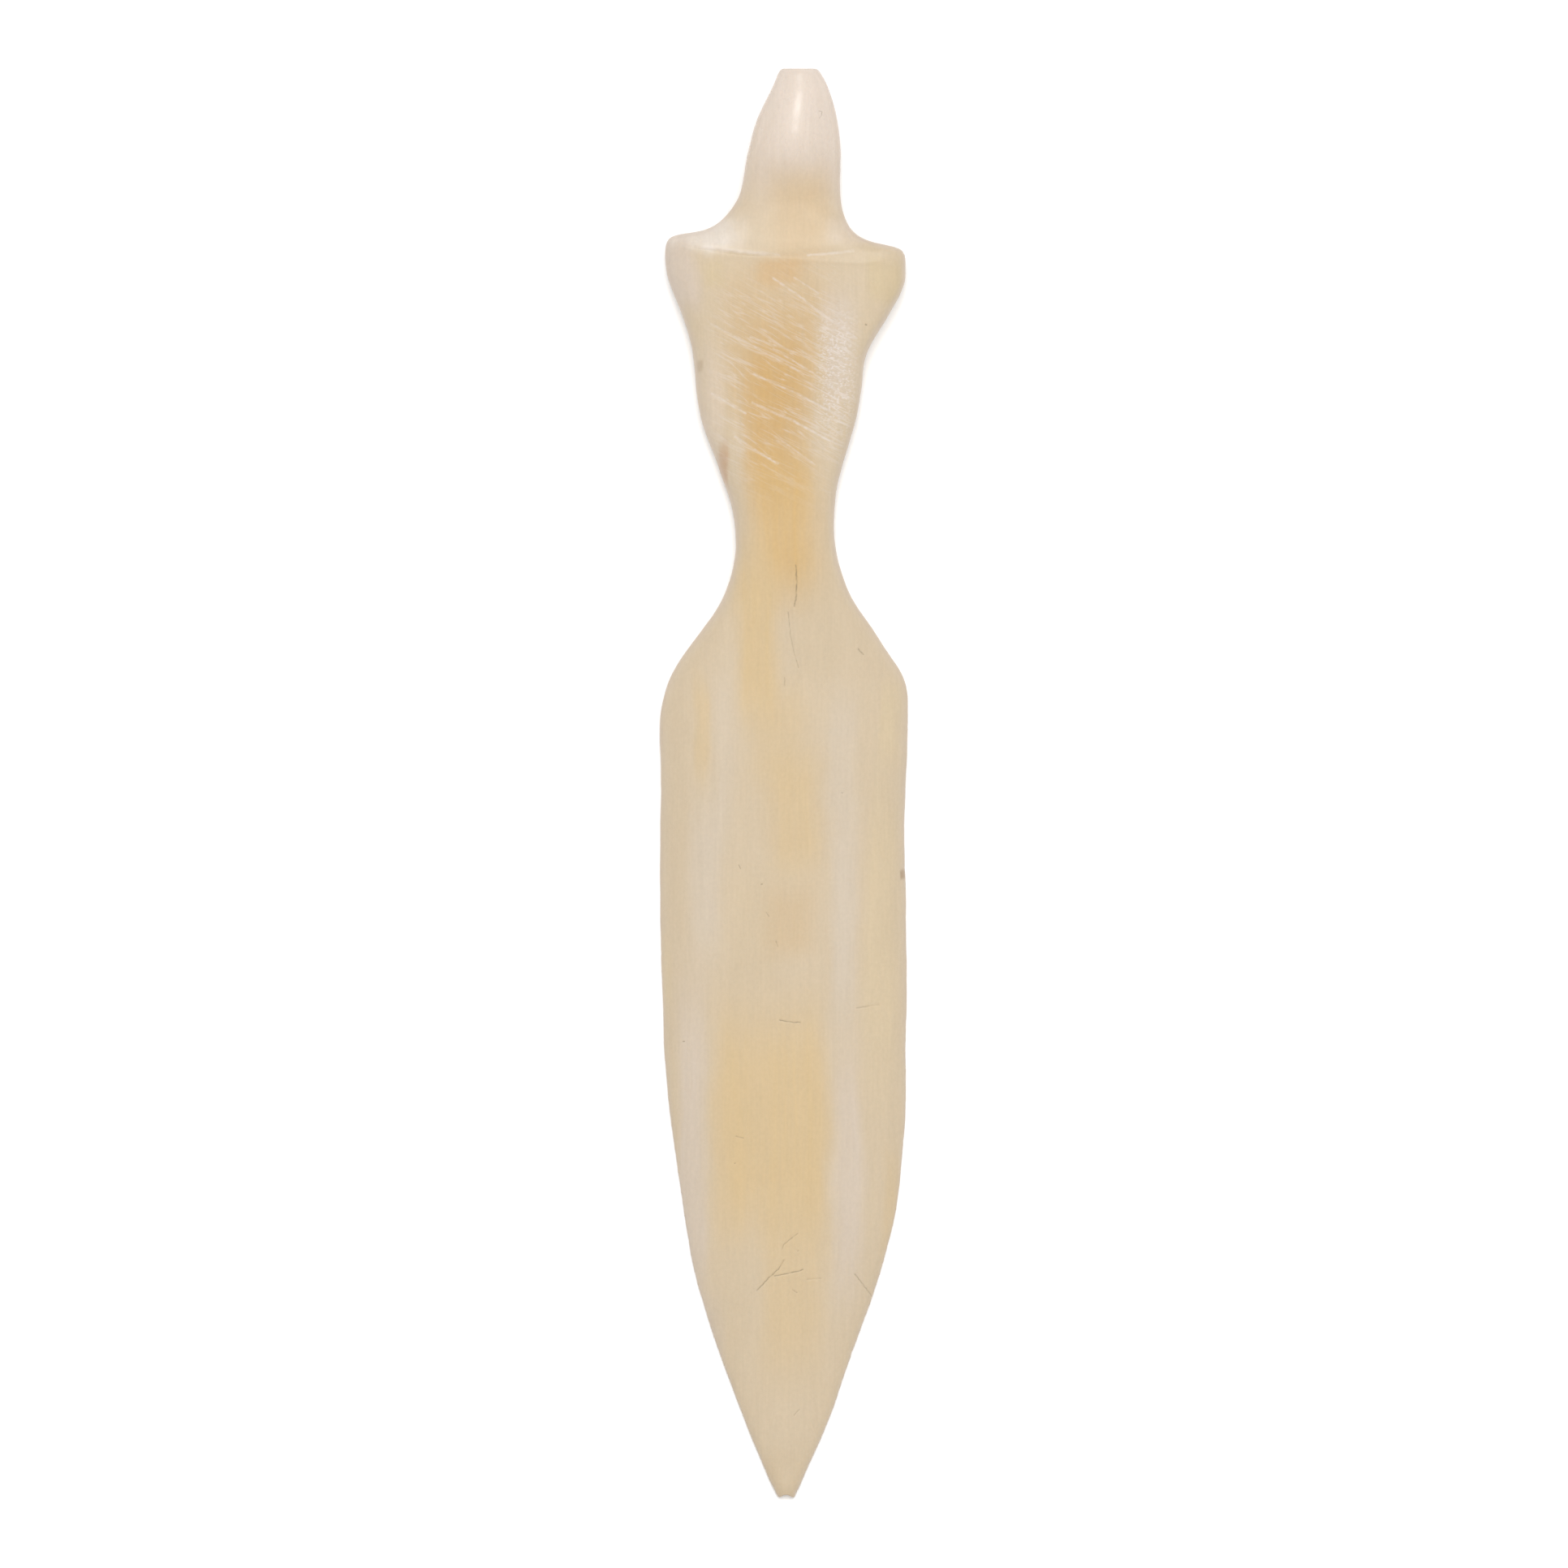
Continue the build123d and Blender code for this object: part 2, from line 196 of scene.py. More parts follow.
ZONES = (
    Zone("cap of the head", 1.8, 82.0, 5.5, 14.0, Tone.CHALK, 0.8),
    Zone("top of the head", 1.5, 79.0, 10.0, 16.0, Tone.CREAM, 0.85, 0.4),
    Zone("middle of the neck", 1.6, 65.0, 5.0, 7.5, Tone.WARM_NECK, 0.8),
    # painted light: the top slope of the left shoulder faces the lamps and is painted paler
    Zone("painted light on the top of the left shoulder", -9.5, 63.6, 6.5, 2.8, Tone.CHALK, 0.8, 0.4),
    Zone("top of the right shoulder", 9.0, 63.4, 5.5, 2.2, Tone.CREAM, 0.4, 0.4),
    # a darker orange patch just under the crest
    Zone("darker orange patch under the crest", -0.5, 59.0, 4.0, 2.2, Tone.DEEP_ORANGE, 0.8),
    # painted reflection: the pale pinkish-cream band where the left shoulder rounds over and mirrors the
    # white studio
    Zone("left shoulder", -12.5, 59.0, 3.2, 6.0, Tone.PAINTED_SHOULDER_REFLECTION, 0.9, 0.5),
    Zone("left chest", -8.2, 59.0, 2.0, 2.2, Tone.OLIVE, 0.6),
    Zone("right shoulder", 11.4, 58.2, 3.0, 3.6, Tone.OLIVE, 0.7, 0.4),
    Zone("chest", -1.0, 51.0, 8.5, 12.0, Tone.TAN, 0.75, 0.4),
    Zone("core of the torso", -0.5, 43.0, 5.4, 15.0, Tone.AMBER, 0.9, 0.2),
    Zone("core of the waist", 0.5, 30.0, 6.0, 12.0, Tone.HONEY, 0.9, 0.2),
    Zone("left flank of the torso", -8.3, 45.0, 2.2, 9.0, Tone.CREAM, 0.3),
    Zone("chalky right flank", 6.3, 50.0, 2.4, 8.5, Tone.LILAC, 0.45),
    Zone("streak below the waist", -3.2, 17.0, 3.8, 14.0, Tone.STRAW, 0.9, 0.3),
    Zone("right of that streak", 3.8, 18.0, 3.4, 8.5, Tone.BISCUIT, 0.35),
    Zone("upper blade, centre", -0.6, 6.0, 5.0, 9.0, Tone.STRAW, 0.5),
    Zone("upper blade, left streak", -9.8, 6.5, 1.1, 9.0, Tone.STRAW, 0.5),
    Zone("upper blade, left band", -7.4, 3.0, 2.4, 15.0, Tone.BAND, 0.35, 0.1),
    Zone("upper blade, right band", 6.4, 2.0, 2.6, 12.0, Tone.BAND, 0.45, 0.2),
    Zone("upper blade, right edge", 12.8, 7.0, 1.8, 7.0, Tone.PALE_YELLOW, 0.6, 0.3),
    Zone("left band", -9.3, -11.0, 2.8, 13.0, Tone.BAND, 0.55, 0.2),
    Zone("left band, lower half", -10.7, -42.0, 2.4, 26.0, Tone.LILAC, 0.5, 0.3),
    Zone("left edge of the point", -9.0, -66.0, 2.4, 9.0, Tone.LILAC, 0.35, 0.3),
    Zone("right band", 7.5, -16.0, 2.3, 17.0, Tone.BAND, 0.6, 0.2),
    Zone("right band, lower half", 7.7, -45.0, 2.5, 20.0, Tone.LILAC, 0.5, 0.2),
    Zone("right margin", 11.6, -18.0, 2.4, 26.0, Tone.PALE_YELLOW, 0.6, 0.3),
    Zone("right margin, lower half", 12.4, -50.0, 1.6, 10.0, Tone.STRAW, 0.4, 0.3),
    Zone("left margin", -13.4, -22.0, 0.9, 7.0, Tone.PALE_YELLOW, 0.6),
    Zone("blade, centre", 1.2, -4.0, 4.6, 10.0, Tone.STRAW, 0.65),
    Zone("blade, worn grey centre", -3.5, -17.0, 4.0, 9.0, Tone.BISCUIT, 0.6),
    Zone("blade, brown patch", 0.8, -16.0, 4.6, 5.5, Tone.TAN, 0.5),
    Zone("blade, lower centre", -1.4, -39.0, 7.6, 18.5, Tone.STRAW, 0.9, 0.6),
    Zone("blade, lower left column", -6.4, -42.0, 2.6, 17.0, Tone.STRAW, 0.3, 0.3),
    Zone("blade, bright streak", 4.0, -40.0, 1.8, 14.0, Tone.STRAW, 0.45),
    Zone("point, centre", 1.0, -57.0, 5.4, 16.0, Tone.STRAW, 0.55, 0.35),
    Zone("point, left", -6.0, -60.0, 3.0, 8.0, Tone.BISCUIT, 0.4),
    Zone("very tip", 0.3, -81.0, 3.5, 6.0, Tone.TIP, 0.8),
    # a narrow reddish-brown strip on the left side of the waist
    Zone("reddish-brown strip on the left flank", -7.0, 36.5, 0.8, 4.5, Tone.REDDISH_BROWN, 0.65),
    Zone("stain on the left flank", -9.8, 48.4, 0.35, 0.9, Tone.STAIN, 0.3),
    Zone("stain on the right edge", 13.7, -10.7, 0.35, 0.8, Tone.STAIN, 0.6),
)

CRACKS = (
    Mark("below the waist", ((1.4, 25.2), (1.5, 23.2), (1.4, 21.3), (1.2, 20.4)), 0.13, 0.08, 0.65),
    Mark("under that one", ((0.5, 19.8), (0.8, 17.0), (1.2, 15.0), (1.7, 13.4)), 0.09, 0.05, 0.4),
    Mark("faint end of it", ((0.1, 12.2), (0.1, 11.2)), 0.1, 0.04, 0.25),
    Mark("tick on the flare", ((8.6, 15.5), (9.2, 14.9)), 0.13, 0.06, 0.6),
    Mark("top of the fork", ((1.6, -51.9), (0.0, -53.2), (-0.2, -53.7)), 0.1, 0.05, 0.4),
    Mark("stem of the fork", ((0.0, -55.0), (-0.6, -56.0), (-1.6, -56.9), (-3.1, -58.5)), 0.11, 0.07, 0.6),
    Mark("arm of the fork", ((-1.1, -56.8), (0.8, -56.5), (2.2, -56.1)), 0.11, 0.06, 0.6),
    Mark("beyond the arm", ((2.7, -57.2), (4.3, -57.1)), 0.11, 0.04, 0.3),
    Mark("under the arm", ((1.0, -58.4), (1.5, -58.7)), 0.11, 0.04, 0.4),
    Mark("right of the fork", ((8.2, -56.6), (9.3, -58.0), (10.2, -59.2)), 0.11, 0.06, 0.45),
    Mark("near the tip", ((1.8, -72.2), (1.2, -72.9)), 0.11, 0.04, 0.3),
)

SCRATCHES = (
    Mark("across the blade", ((-0.5, -27.3), (0.6, -27.5), (1.9, -27.6)), 0.12, 0.05, 0.55),
    Mark("across its right side", ((8.4, -25.9), (11.0, -25.5)), 0.13, 0.04, 0.3),
    Mark("short pair, upper", ((-5.2, -9.4), (-5.0, -9.8)), 0.1, 0.04, 0.45),
    Mark("short pair, lower", ((-2.0, -14.9), (-1.7, -15.3)), 0.1, 0.04, 0.45),
    Mark("single nick", ((-0.9, -18.2), (-0.7, -18.8)), 0.1, 0.04, 0.5),
    Mark("left nick", ((-5.5, -40.7), (-4.7, -40.9)), 0.14, 0.04, 0.35),
    Mark("curl on the head", ((4.1, 77.6), (4.4, 77.5), (4.4, 77.1), (4.1, 76.8)), 0.09, 0.03, 0.45),
)

FILE_STROKES_AND_CREST_HIGHLIGHT = (
    Mark("from the crest", ((-1.2, 58.3), (1.6, 56.4), (4.6, 54.0), (8.4, 51.4)), 0.22, 0.035, 0.6),
    Mark("beside it", ((1.2, 58.4), (4.0, 56.6)), 0.18, 0.03, 0.5),
    Mark("upper long one", ((-8.4, 53.0), (-3.0, 50.2), (2.3, 47.3)), 0.22, 0.035, 0.6),
    Mark("middle one", ((-3.9, 51.5), (1.0, 49.9), (5.3, 48.2)), 0.18, 0.03, 0.5),
    Mark("lower long one", ((-3.8, 47.4), (1.5, 45.0), (6.8, 42.2)), 0.24, 0.04, 0.7),
    Mark("crossing one", ((-1.2, 50.2), (3.5, 47.3), (7.4, 44.4)), 0.2, 0.03, 0.55),
    Mark("left one", ((-8.3, 45.0), (-4.4, 42.7)), 0.22, 0.035, 0.65),
    Mark("above the core", ((-3.6, 43.9), (1.2, 41.8), (6.0, 39.2)), 0.26, 0.045, 0.8),
    Mark("bright short one", ((-5.6, 40.0), (-3.2, 38.4), (-0.7, 36.9)), 0.25, 0.045, 0.85),
    Mark("last one", ((-0.4, 39.7), (3.6, 36.8)), 0.18, 0.03, 0.55),
    # painted highlight: two pale lines with no depth along the crest, where it catches the light
    Mark("painted highlight left of the crest", ((-9.4, 61.9), (-4.2, 61.3), (-0.6, 61.0)), 0.4, 0.0, 0.5),
    Mark("painted highlight right of the crest", ((2.8, 61.0), (5.0, 61.1), (8.0, 61.5)), 0.28, 0.0, 0.6),
)

PORES = (
    Mark("in the right chest", ((9.45, 52.95), (9.55, 52.95)), 0.14, 0.06, 1.0),
    Mark("in the chalky flank", ((7.0, 46.3), (7.1, 46.3)), 0.1, 0.04, 0.7),
    Mark("in the blade's middle", ((-2.5, -11.6), (-2.6, -11.6)), 0.1, 0.05, 0.7),
    Mark("right of the middle", ((6.7, -1.1), (6.8, -1.1)), 0.12, 0.04, 0.5),
    Mark("in the left band", ((-11.5, -29.8), (-11.6, -29.8)), 0.11, 0.05, 0.9),
    Mark("in the lower blade", ((-5.6, -43.8), (-5.7, -43.8)), 0.12, 0.04, 0.6),
    Mark("by the fork", ((1.6, -53.9), (1.7, -53.9)), 0.13, 0.05, 0.7),
)

FILING = (
    StrokeSet(24, 0.6, 10.0, 0.45),
    StrokeSet(28, 0.42, 7.0, 0.46),
    StrokeSet(34, 0.6, 6.0, 0.48),
)

SANDING = (
    StrokeSet(86, 0.8, 16.0, 0.45),
    StrokeSet(68, 0.7, 9.0, 0.5),
)


def distance_to_line(places: np.ndarray, start: Point, end: Point) -> np.ndarray:
    """Measure how far places in plan lie from a straight piece of line.

    Args:
        places: one row of X and Y for each place.
        start: where the line starts.
        end: where it ends.

    Returns:
        The distances.
    """
    origin = np.array(start)
    run = np.array(end) - origin
    share = np.clip((places - origin) @ run / (run @ run), 0.0, 1.0)
    nearest = origin + share[:, None] * run
    return np.linalg.norm(places - nearest, axis=1)


def smooth_step(values: np.ndarray, low: float, high: float) -> np.ndarray:
    """Return values eased from 0 at low to 1 at high."""
    share = np.clip((values - low) / (high - low), 0.0, 1.0)
    return share * share * (3 - 2 * share)


def rolling_noise(places: np.ndarray, stretch: tuple[float, float, float], seed: int) -> np.ndarray:
    """Return soft random values between about -1 and 1.

    Args:
        places: one row of X, Y and Z for each place.
        stretch: the size of the noise's swells along each axis, in the places' own unit.
        seed: which noise to take.

    Returns:
        One value for each place.
    """
    scaled = places / np.array(stretch) + seed * SEED_SHIFT
    return np.array([noise.noise(Vector(row)) for row in scaled.tolist()])


class NodeSketch:
    """A node tree that is written down one node at a time."""

    def __init__(self, tree: bpy.types.NodeTree) -> None:
        """Start writing in an empty tree."""
        self.tree = tree
        tree.nodes.clear()

    def add(self, kind: str, inputs: dict | None = None, **settings: object) -> bpy.types.Node:
        """Add a node.

        Args:
            kind: the node's type.
            inputs: for each input, by name or number, a constant or the socket that feeds it.
            **settings: the node's own options.

        Returns:
            The new node.
        """
        node = self.tree.nodes.new(kind)
        for option, value in settings.items():
            setattr(node, option, value)
        for key, value in (inputs or {}).items():
            socket = node.inputs[key]
            if isinstance(value, Socket):
                self.tree.links.new(value, socket)
            else:
                socket.default_value = value
        return node

    def maths(self, operation: str, *values: Input) -> Socket:
        """Return the result of a Math node."""
        node = self.add("ShaderNodeMath", dict(enumerate(values)), operation=operation)
        return node.outputs[0]

    def vectors(self, operation: str, *values: Input, result: str = "Vector") -> Socket:
        """Return what a Vector Math node makes: a vector or, under the name Value, a number."""
        node = self.add("ShaderNodeVectorMath", dict(enumerate(values)), operation=operation)
        return node.outputs[result]

    def scale(self, vector: Input, factor: Input) -> Socket:
        """Return a vector times a number."""
        inputs = {0: vector, "Scale": factor}
        return self.add("ShaderNodeVectorMath", inputs, operation="SCALE").outputs["Vector"]

    def ease(
        self, value: Input, low: Input, high: Input, start: float = 0.0, stop: float = 1.0
    ) -> Socket:
        """Ease a value from one range into another.

        Args:
            value: the socket to read.
            low: the value that gives start.
            high: the value that gives stop.
            start: the result at low.
            stop: the result at high.

        Returns:
            The socket with the result.
        """
        inputs = {"Value": value, "From Min": low, "From Max": high, "To Min": start, "To Max": stop}
        return self.add("ShaderNodeMapRange", inputs, interpolation_type="SMOOTHSTEP").outputs[0]

    def mix(self, factor: Input, below: Input, above: Input) -> Socket:
        """Lay one colour over another.

        Args:
            factor: how much of the upper colour shows.
            below: the lower colour.
            above: the upper colour.

        Returns:
            The socket with the mixed colour.
        """
        inputs = {0: factor, 6: below, 7: above}  # 6 and 7 are the node's colour inputs
        node = self.add("ShaderNodeMix", inputs, data_type="RGBA", clamp_factor=True)
        return node.outputs[2]

    def noise(
        self, place: Input, detail: Input, roughness: float = 0.5, output: str = "Fac"
    ) -> Socket:
        """Read a noise texture whose swells are one unit wide.

        Args:
            place: where to read it.
            detail: how many finer swells are added.
            roughness: how strong the finer ones are.
            output: the name of the output to take, Fac or Color.

        Returns:
            The socket with the number or the colour.
        """
        inputs = {"Vector": place, "Scale": 1.0, "Detail": detail, "Roughness": roughness}
        return self.add("ShaderNodeTexNoise", inputs).outputs[output]

    def wander(self, place: Input, swells: Swells, most: float) -> Socket:
        """Move a place a little, at random, in the tool's plan.

        Args:
            place: the place on the tool in millimetres.
            swells: the noise that moves it.
            most: the width of the range of the movement, in millimetres.

        Returns:
            The moved place.
        """
        *sizes, detail = swells.value
        pitch = tuple(1 / size for size in sizes)
        chance = self.noise(self.vectors("MULTIPLY", place, pitch), detail, output="Color")
        offset = self.vectors("SUBTRACT", chance, (0.5, 0.5, 0.5))
        return self.vectors("MULTIPLY_ADD", offset, (most, most, 0.0), place)


class Effect:
    """A shader node group with named inputs and one output, built once and placed many times."""

    name = "effect"
    inputs: dict[str, float | tuple[float, float, float]] = {}
    output = "Mask"

    def __init__(self) -> None:
        """Build the group."""
        tree = bpy.data.node_groups.new(self.name, "ShaderNodeTree")
        sketch = NodeSketch(tree)
        new_socket = tree.interface.new_socket
        for label, value in self.inputs.items():
            kind = "NodeSocketVector" if isinstance(value, tuple) else "NodeSocketFloat"
            new_socket(name=label, in_out="INPUT", socket_type=kind).default_value = value
        new_socket(name=self.output, in_out="OUTPUT", socket_type="NodeSocketFloat")
        result = self.draw(sketch, sketch.add("NodeGroupInput").outputs)
        sketch.add("NodeGroupOutput", {self.output: result})
        self.tree = tree

    def draw(self, sketch: NodeSketch, given: bpy.types.NodeOutputs) -> Socket:
        """Write the group's nodes.

        Args:
            sketch: where they are written.
            given: the group's own inputs.

        Returns:
            The socket that feeds the group's output.
        """
        raise NotImplementedError

    def place(self, sketch: NodeSketch, **values: object) -> Socket:
        """Place the group in a material.

        Args:
            sketch: the material's nodes.
            **values: the group's inputs, with underscores for spaces.

        Returns:
            The group's output.
        """
        named = {key.replace("_", " "): value for key, value in values.items()}
        return sketch.add("ShaderNodeGroup", named, node_tree=self.tree).outputs[0]


class SoftZone(Effect):
    """A mask with the shape of a rounded box in plan that fades out towards its rim."""

    name = "soft_zone"
    fade_along = 0.3  # share of its half length at which it starts to fade
    inputs = {"Place": ORIGIN, "Middle": ORIGIN, "Reach": (1.0, 1.0, 1.0), "Plateau": 0.3}

    def draw(self, sketch: NodeSketch, given: bpy.types.NodeOutputs) -> Socket:
        """Fade out across from the plateau's edge, and more slowly along the bone.

        Args:
            sketch: where the nodes are written.
            given: the group's own inputs.

        Returns:
            The socket that feeds the group's output.
        """
        offset = sketch.vectors("SUBTRACT", given["Place"], given["Middle"])
        share = sketch.vectors("ABSOLUTE", sketch.vectors("DIVIDE", offset, given["Reach"]))
        parts = sketch.add("ShaderNodeSeparateXYZ", {0: share}).outputs
        across = sketch.ease(parts["X"], 1.0, given["Plateau"])
        return sketch.maths("MULTIPLY", across, sketch.ease(parts["Y"], 1.0, self.fade_along))


class Hairline(Effect):
    """A mask along a straight piece of line, full in its middle and gone at its width."""

    name = "hairline"
    inputs = {
        "Flat Place": ORIGIN,
        "Start": ORIGIN,
        "Run": (1.0, 0.0, 0.0),
        "Gauge": (1.0, 0.0, 0.0),
        "Width": 0.15,
    }

    def draw(self, sketch: NodeSketch, given: bpy.types.NodeOutputs) -> Socket:
        """Measure the distance in plan from the place to the nearest point of the line.

        The gauge is the run over its squared length, so its dot product is a share of the run.

        Args:
            sketch: where the nodes are written.
            given: the group's own inputs.

        Returns:
            The socket that feeds the group's output.
        """
        offset = sketch.vectors("SUBTRACT", given["Flat Place"], given["Start"])
        share = sketch.vectors("DOT_PRODUCT", offset, given["Gauge"], result="Value")
        share = sketch.maths("MAXIMUM", sketch.maths("MINIMUM", share, 1.0), 0.0)
        along = sketch.scale(given["Run"], share)
        gap = sketch.vectors("DISTANCE", offset, along, result="Value")
        return sketch.ease(gap, given["Width"], 0.0)


class FileMarks(Effect):
    """A mask of many fine parallel strokes, broken up along their length."""

    name = "file_marks"
    inputs = {
        "Place": ORIGIN,
        "Angle": 0.0,
        "Pitch": 0.7,
        "Length": 12.0,
        "Fineness": 22.0,
        "Sparseness": 0.5,
    }
    thickness = 50.0  # mm down through the bone over which a stroke stays the same
    breaking = 0.12  # range of the breaking noise in which a stroke fades in
    break_stretch = (1.7, 0.6, 1.0)  # how much finer than the strokes that noise is
    break_shift = (31.0, 17.0, 5.0)  # swells, so that it isn't the strokes' own noise

    def draw(self, sketch: NodeSketch, given: bpy.types.NodeOutputs) -> Socket:
        """Turn the place, stretch a noise along the strokes and draw lines where it crosses zero.

        Args:
            sketch: where the nodes are written.
            given: the group's own inputs.

        Returns:
            The socket that feeds the group's output.
        """
        inputs = {"Vector": given["Place"], "Angle": given["Angle"]}
        turned = sketch.add("ShaderNodeVectorRotate", inputs, rotation_type="Z_AXIS").outputs[0]
        inputs = {"X": given["Length"], "Y": given["Pitch"], "Z": self.thickness}
        sizes = sketch.add("ShaderNodeCombineXYZ", inputs).outputs[0]
        place = sketch.vectors("DIVIDE", turned, sizes)
        swells = sketch.noise(place, 1.0, 0.6)
        away = sketch.maths("ABSOLUTE", sketch.maths("SUBTRACT", swells, 0.5))
        line = sketch.maths("SUBTRACT", 1.0, sketch.maths("MULTIPLY", away, given["Fineness"]))
        line = sketch.maths("MAXIMUM", line, 0.0)
        elsewhere = sketch.vectors("MULTIPLY_ADD", place, self.break_stretch, self.break_shift)
        breaks = sketch.noise(elsewhere, 2.0)
        high = sketch.maths("ADD", given["Sparseness"], self.breaking)
        inputs = {"Value": breaks, "From Min": given["Sparseness"], "From Max": high}
        kept = sketch.add("ShaderNodeMapRange", inputs).outputs[0]
        return sketch.maths("MULTIPLY", line, kept)


class Specks(Effect):
    """A mask of small round specks, scattered thinly."""

    name = "specks"
    inputs = {"Place": ORIGIN, "Spacing": (5.0, 5.0, 5.0), "Radius": 0.04, "Share": 0.5}
    core = 0.4  # share of a speck's radius that is full

    def draw(self, sketch: NodeSketch, given: bpy.types.NodeOutputs) -> Socket:
        """Keep the middles of some of the cells of a Voronoi texture.

        Args:
            sketch: where the nodes are written.
            given: the group's own inputs.

        Returns:
            The socket that feeds the group's output.
        """
        place = sketch.vectors("DIVIDE", given["Place"], given["Spacing"])
        cells = sketch.add("ShaderNodeTexVoronoi", {"Vector": place, "Scale": 1.0})
        chance = sketch.add("ShaderNodeSeparateXYZ", {0: cells.outputs["Color"]}).outputs["X"]
        kept = sketch.maths("LESS_THAN", chance, given["Share"])
        core = sketch.maths("MULTIPLY", given["Radius"], self.core)
        dot = sketch.ease(cells.outputs["Distance"], given["Radius"], core)
        return sketch.maths("MULTIPLY", dot, kept)


class Grain(Effect):
    """Noise drawn out along one axis, centred on zero."""

    name = "grain"
    inputs = {"Place": ORIGIN, "Swell": (1.0, 1.0, 1.0), "Detail": 2.0}
    output = "Height"
    roughness = 0.55

    def draw(self, sketch: NodeSketch, given: bpy.types.NodeOutputs) -> Socket:
        """Divide the place by the size of the swells and take a noise's distance from its mean.

        Args:
            sketch: where the nodes are written.
            given: the group's own inputs.

        Returns:
            The socket that feeds the group's output.
        """
        place = sketch.vectors("DIVIDE", given["Place"], given["Swell"])
        swells = sketch.noise(place, given["Detail"], self.roughness)
        return sketch.maths("MULTIPLY", sketch.maths("SUBTRACT", swells, 0.5), 2.0)


@dataclass
class EffectShelf:
    """Every effect that the finishes place, each built once."""

    zone: SoftZone
    hairline: Hairline
    file_marks: FileMarks
    specks: Specks
    grain: Grain

    @classmethod
    def stock(cls) -> "EffectShelf":
        """Build every effect."""
        return cls(SoftZone(), Hairline(), FileMarks(), Specks(), Grain())


@dataclass
class Skin:
    """What a finish is drawn on: its nodes, the effects, and where and how the skin lies."""

    sketch: NodeSketch
    effects: EffectShelf
    place: Socket  # the place on the tool in millimetres
    facing: Socket  # how far the skin faces up, from -1 to 1
    front: Socket  # the mask of the front face
    back: Socket  # the mask of the flat back

    facing_front = (0.25, 0.75)  # how far the skin faces up where the mask starts and is full
    facing_back = (-0.75, -0.95)

    @classmethod
    def over(cls, sketch: NodeSketch, effects: EffectShelf) -> "Skin":
        """Measure the skin.

        Args:
            sketch: the material's nodes.
            effects: the node groups.

        Returns:
            The measured skin.
        """
        spot = sketch.add("ShaderNodeTexCoord").outputs["Object"]
        normal = sketch.add("ShaderNodeNewGeometry").outputs["Normal"]
        facing = sketch.add("ShaderNodeSeparateXYZ", {0: normal}).outputs["Z"]
        front = sketch.ease(facing, *cls.facing_front)
        back = sketch.ease(facing, *cls.facing_back)
        return cls(sketch, effects, sketch.scale(spot, 1 / MM), facing, front, back)

    def lay(self, effect: Effect, **values: Input) -> Socket:
        """Place an effect on the skin and return its output."""
        return effect.place(self.sketch, Place=self.place, **values)

    def patch(self, patch: Patch) -> Socket:
        """Return the mask of a patch."""
        spots = {"Middle": (*patch.middle, 0.0), "Reach": (*patch.reach, 1.0)}
        return self.lay(self.effects.zone, Plateau=patch.plateau, **spots)

    def grain(self, swells: Swells) -> Socket:
        """Return a noise between about -1 and 1."""
        *sizes, detail = swells.value
        return self.lay(self.effects.grain, Swell=tuple(sizes), Detail=detail)


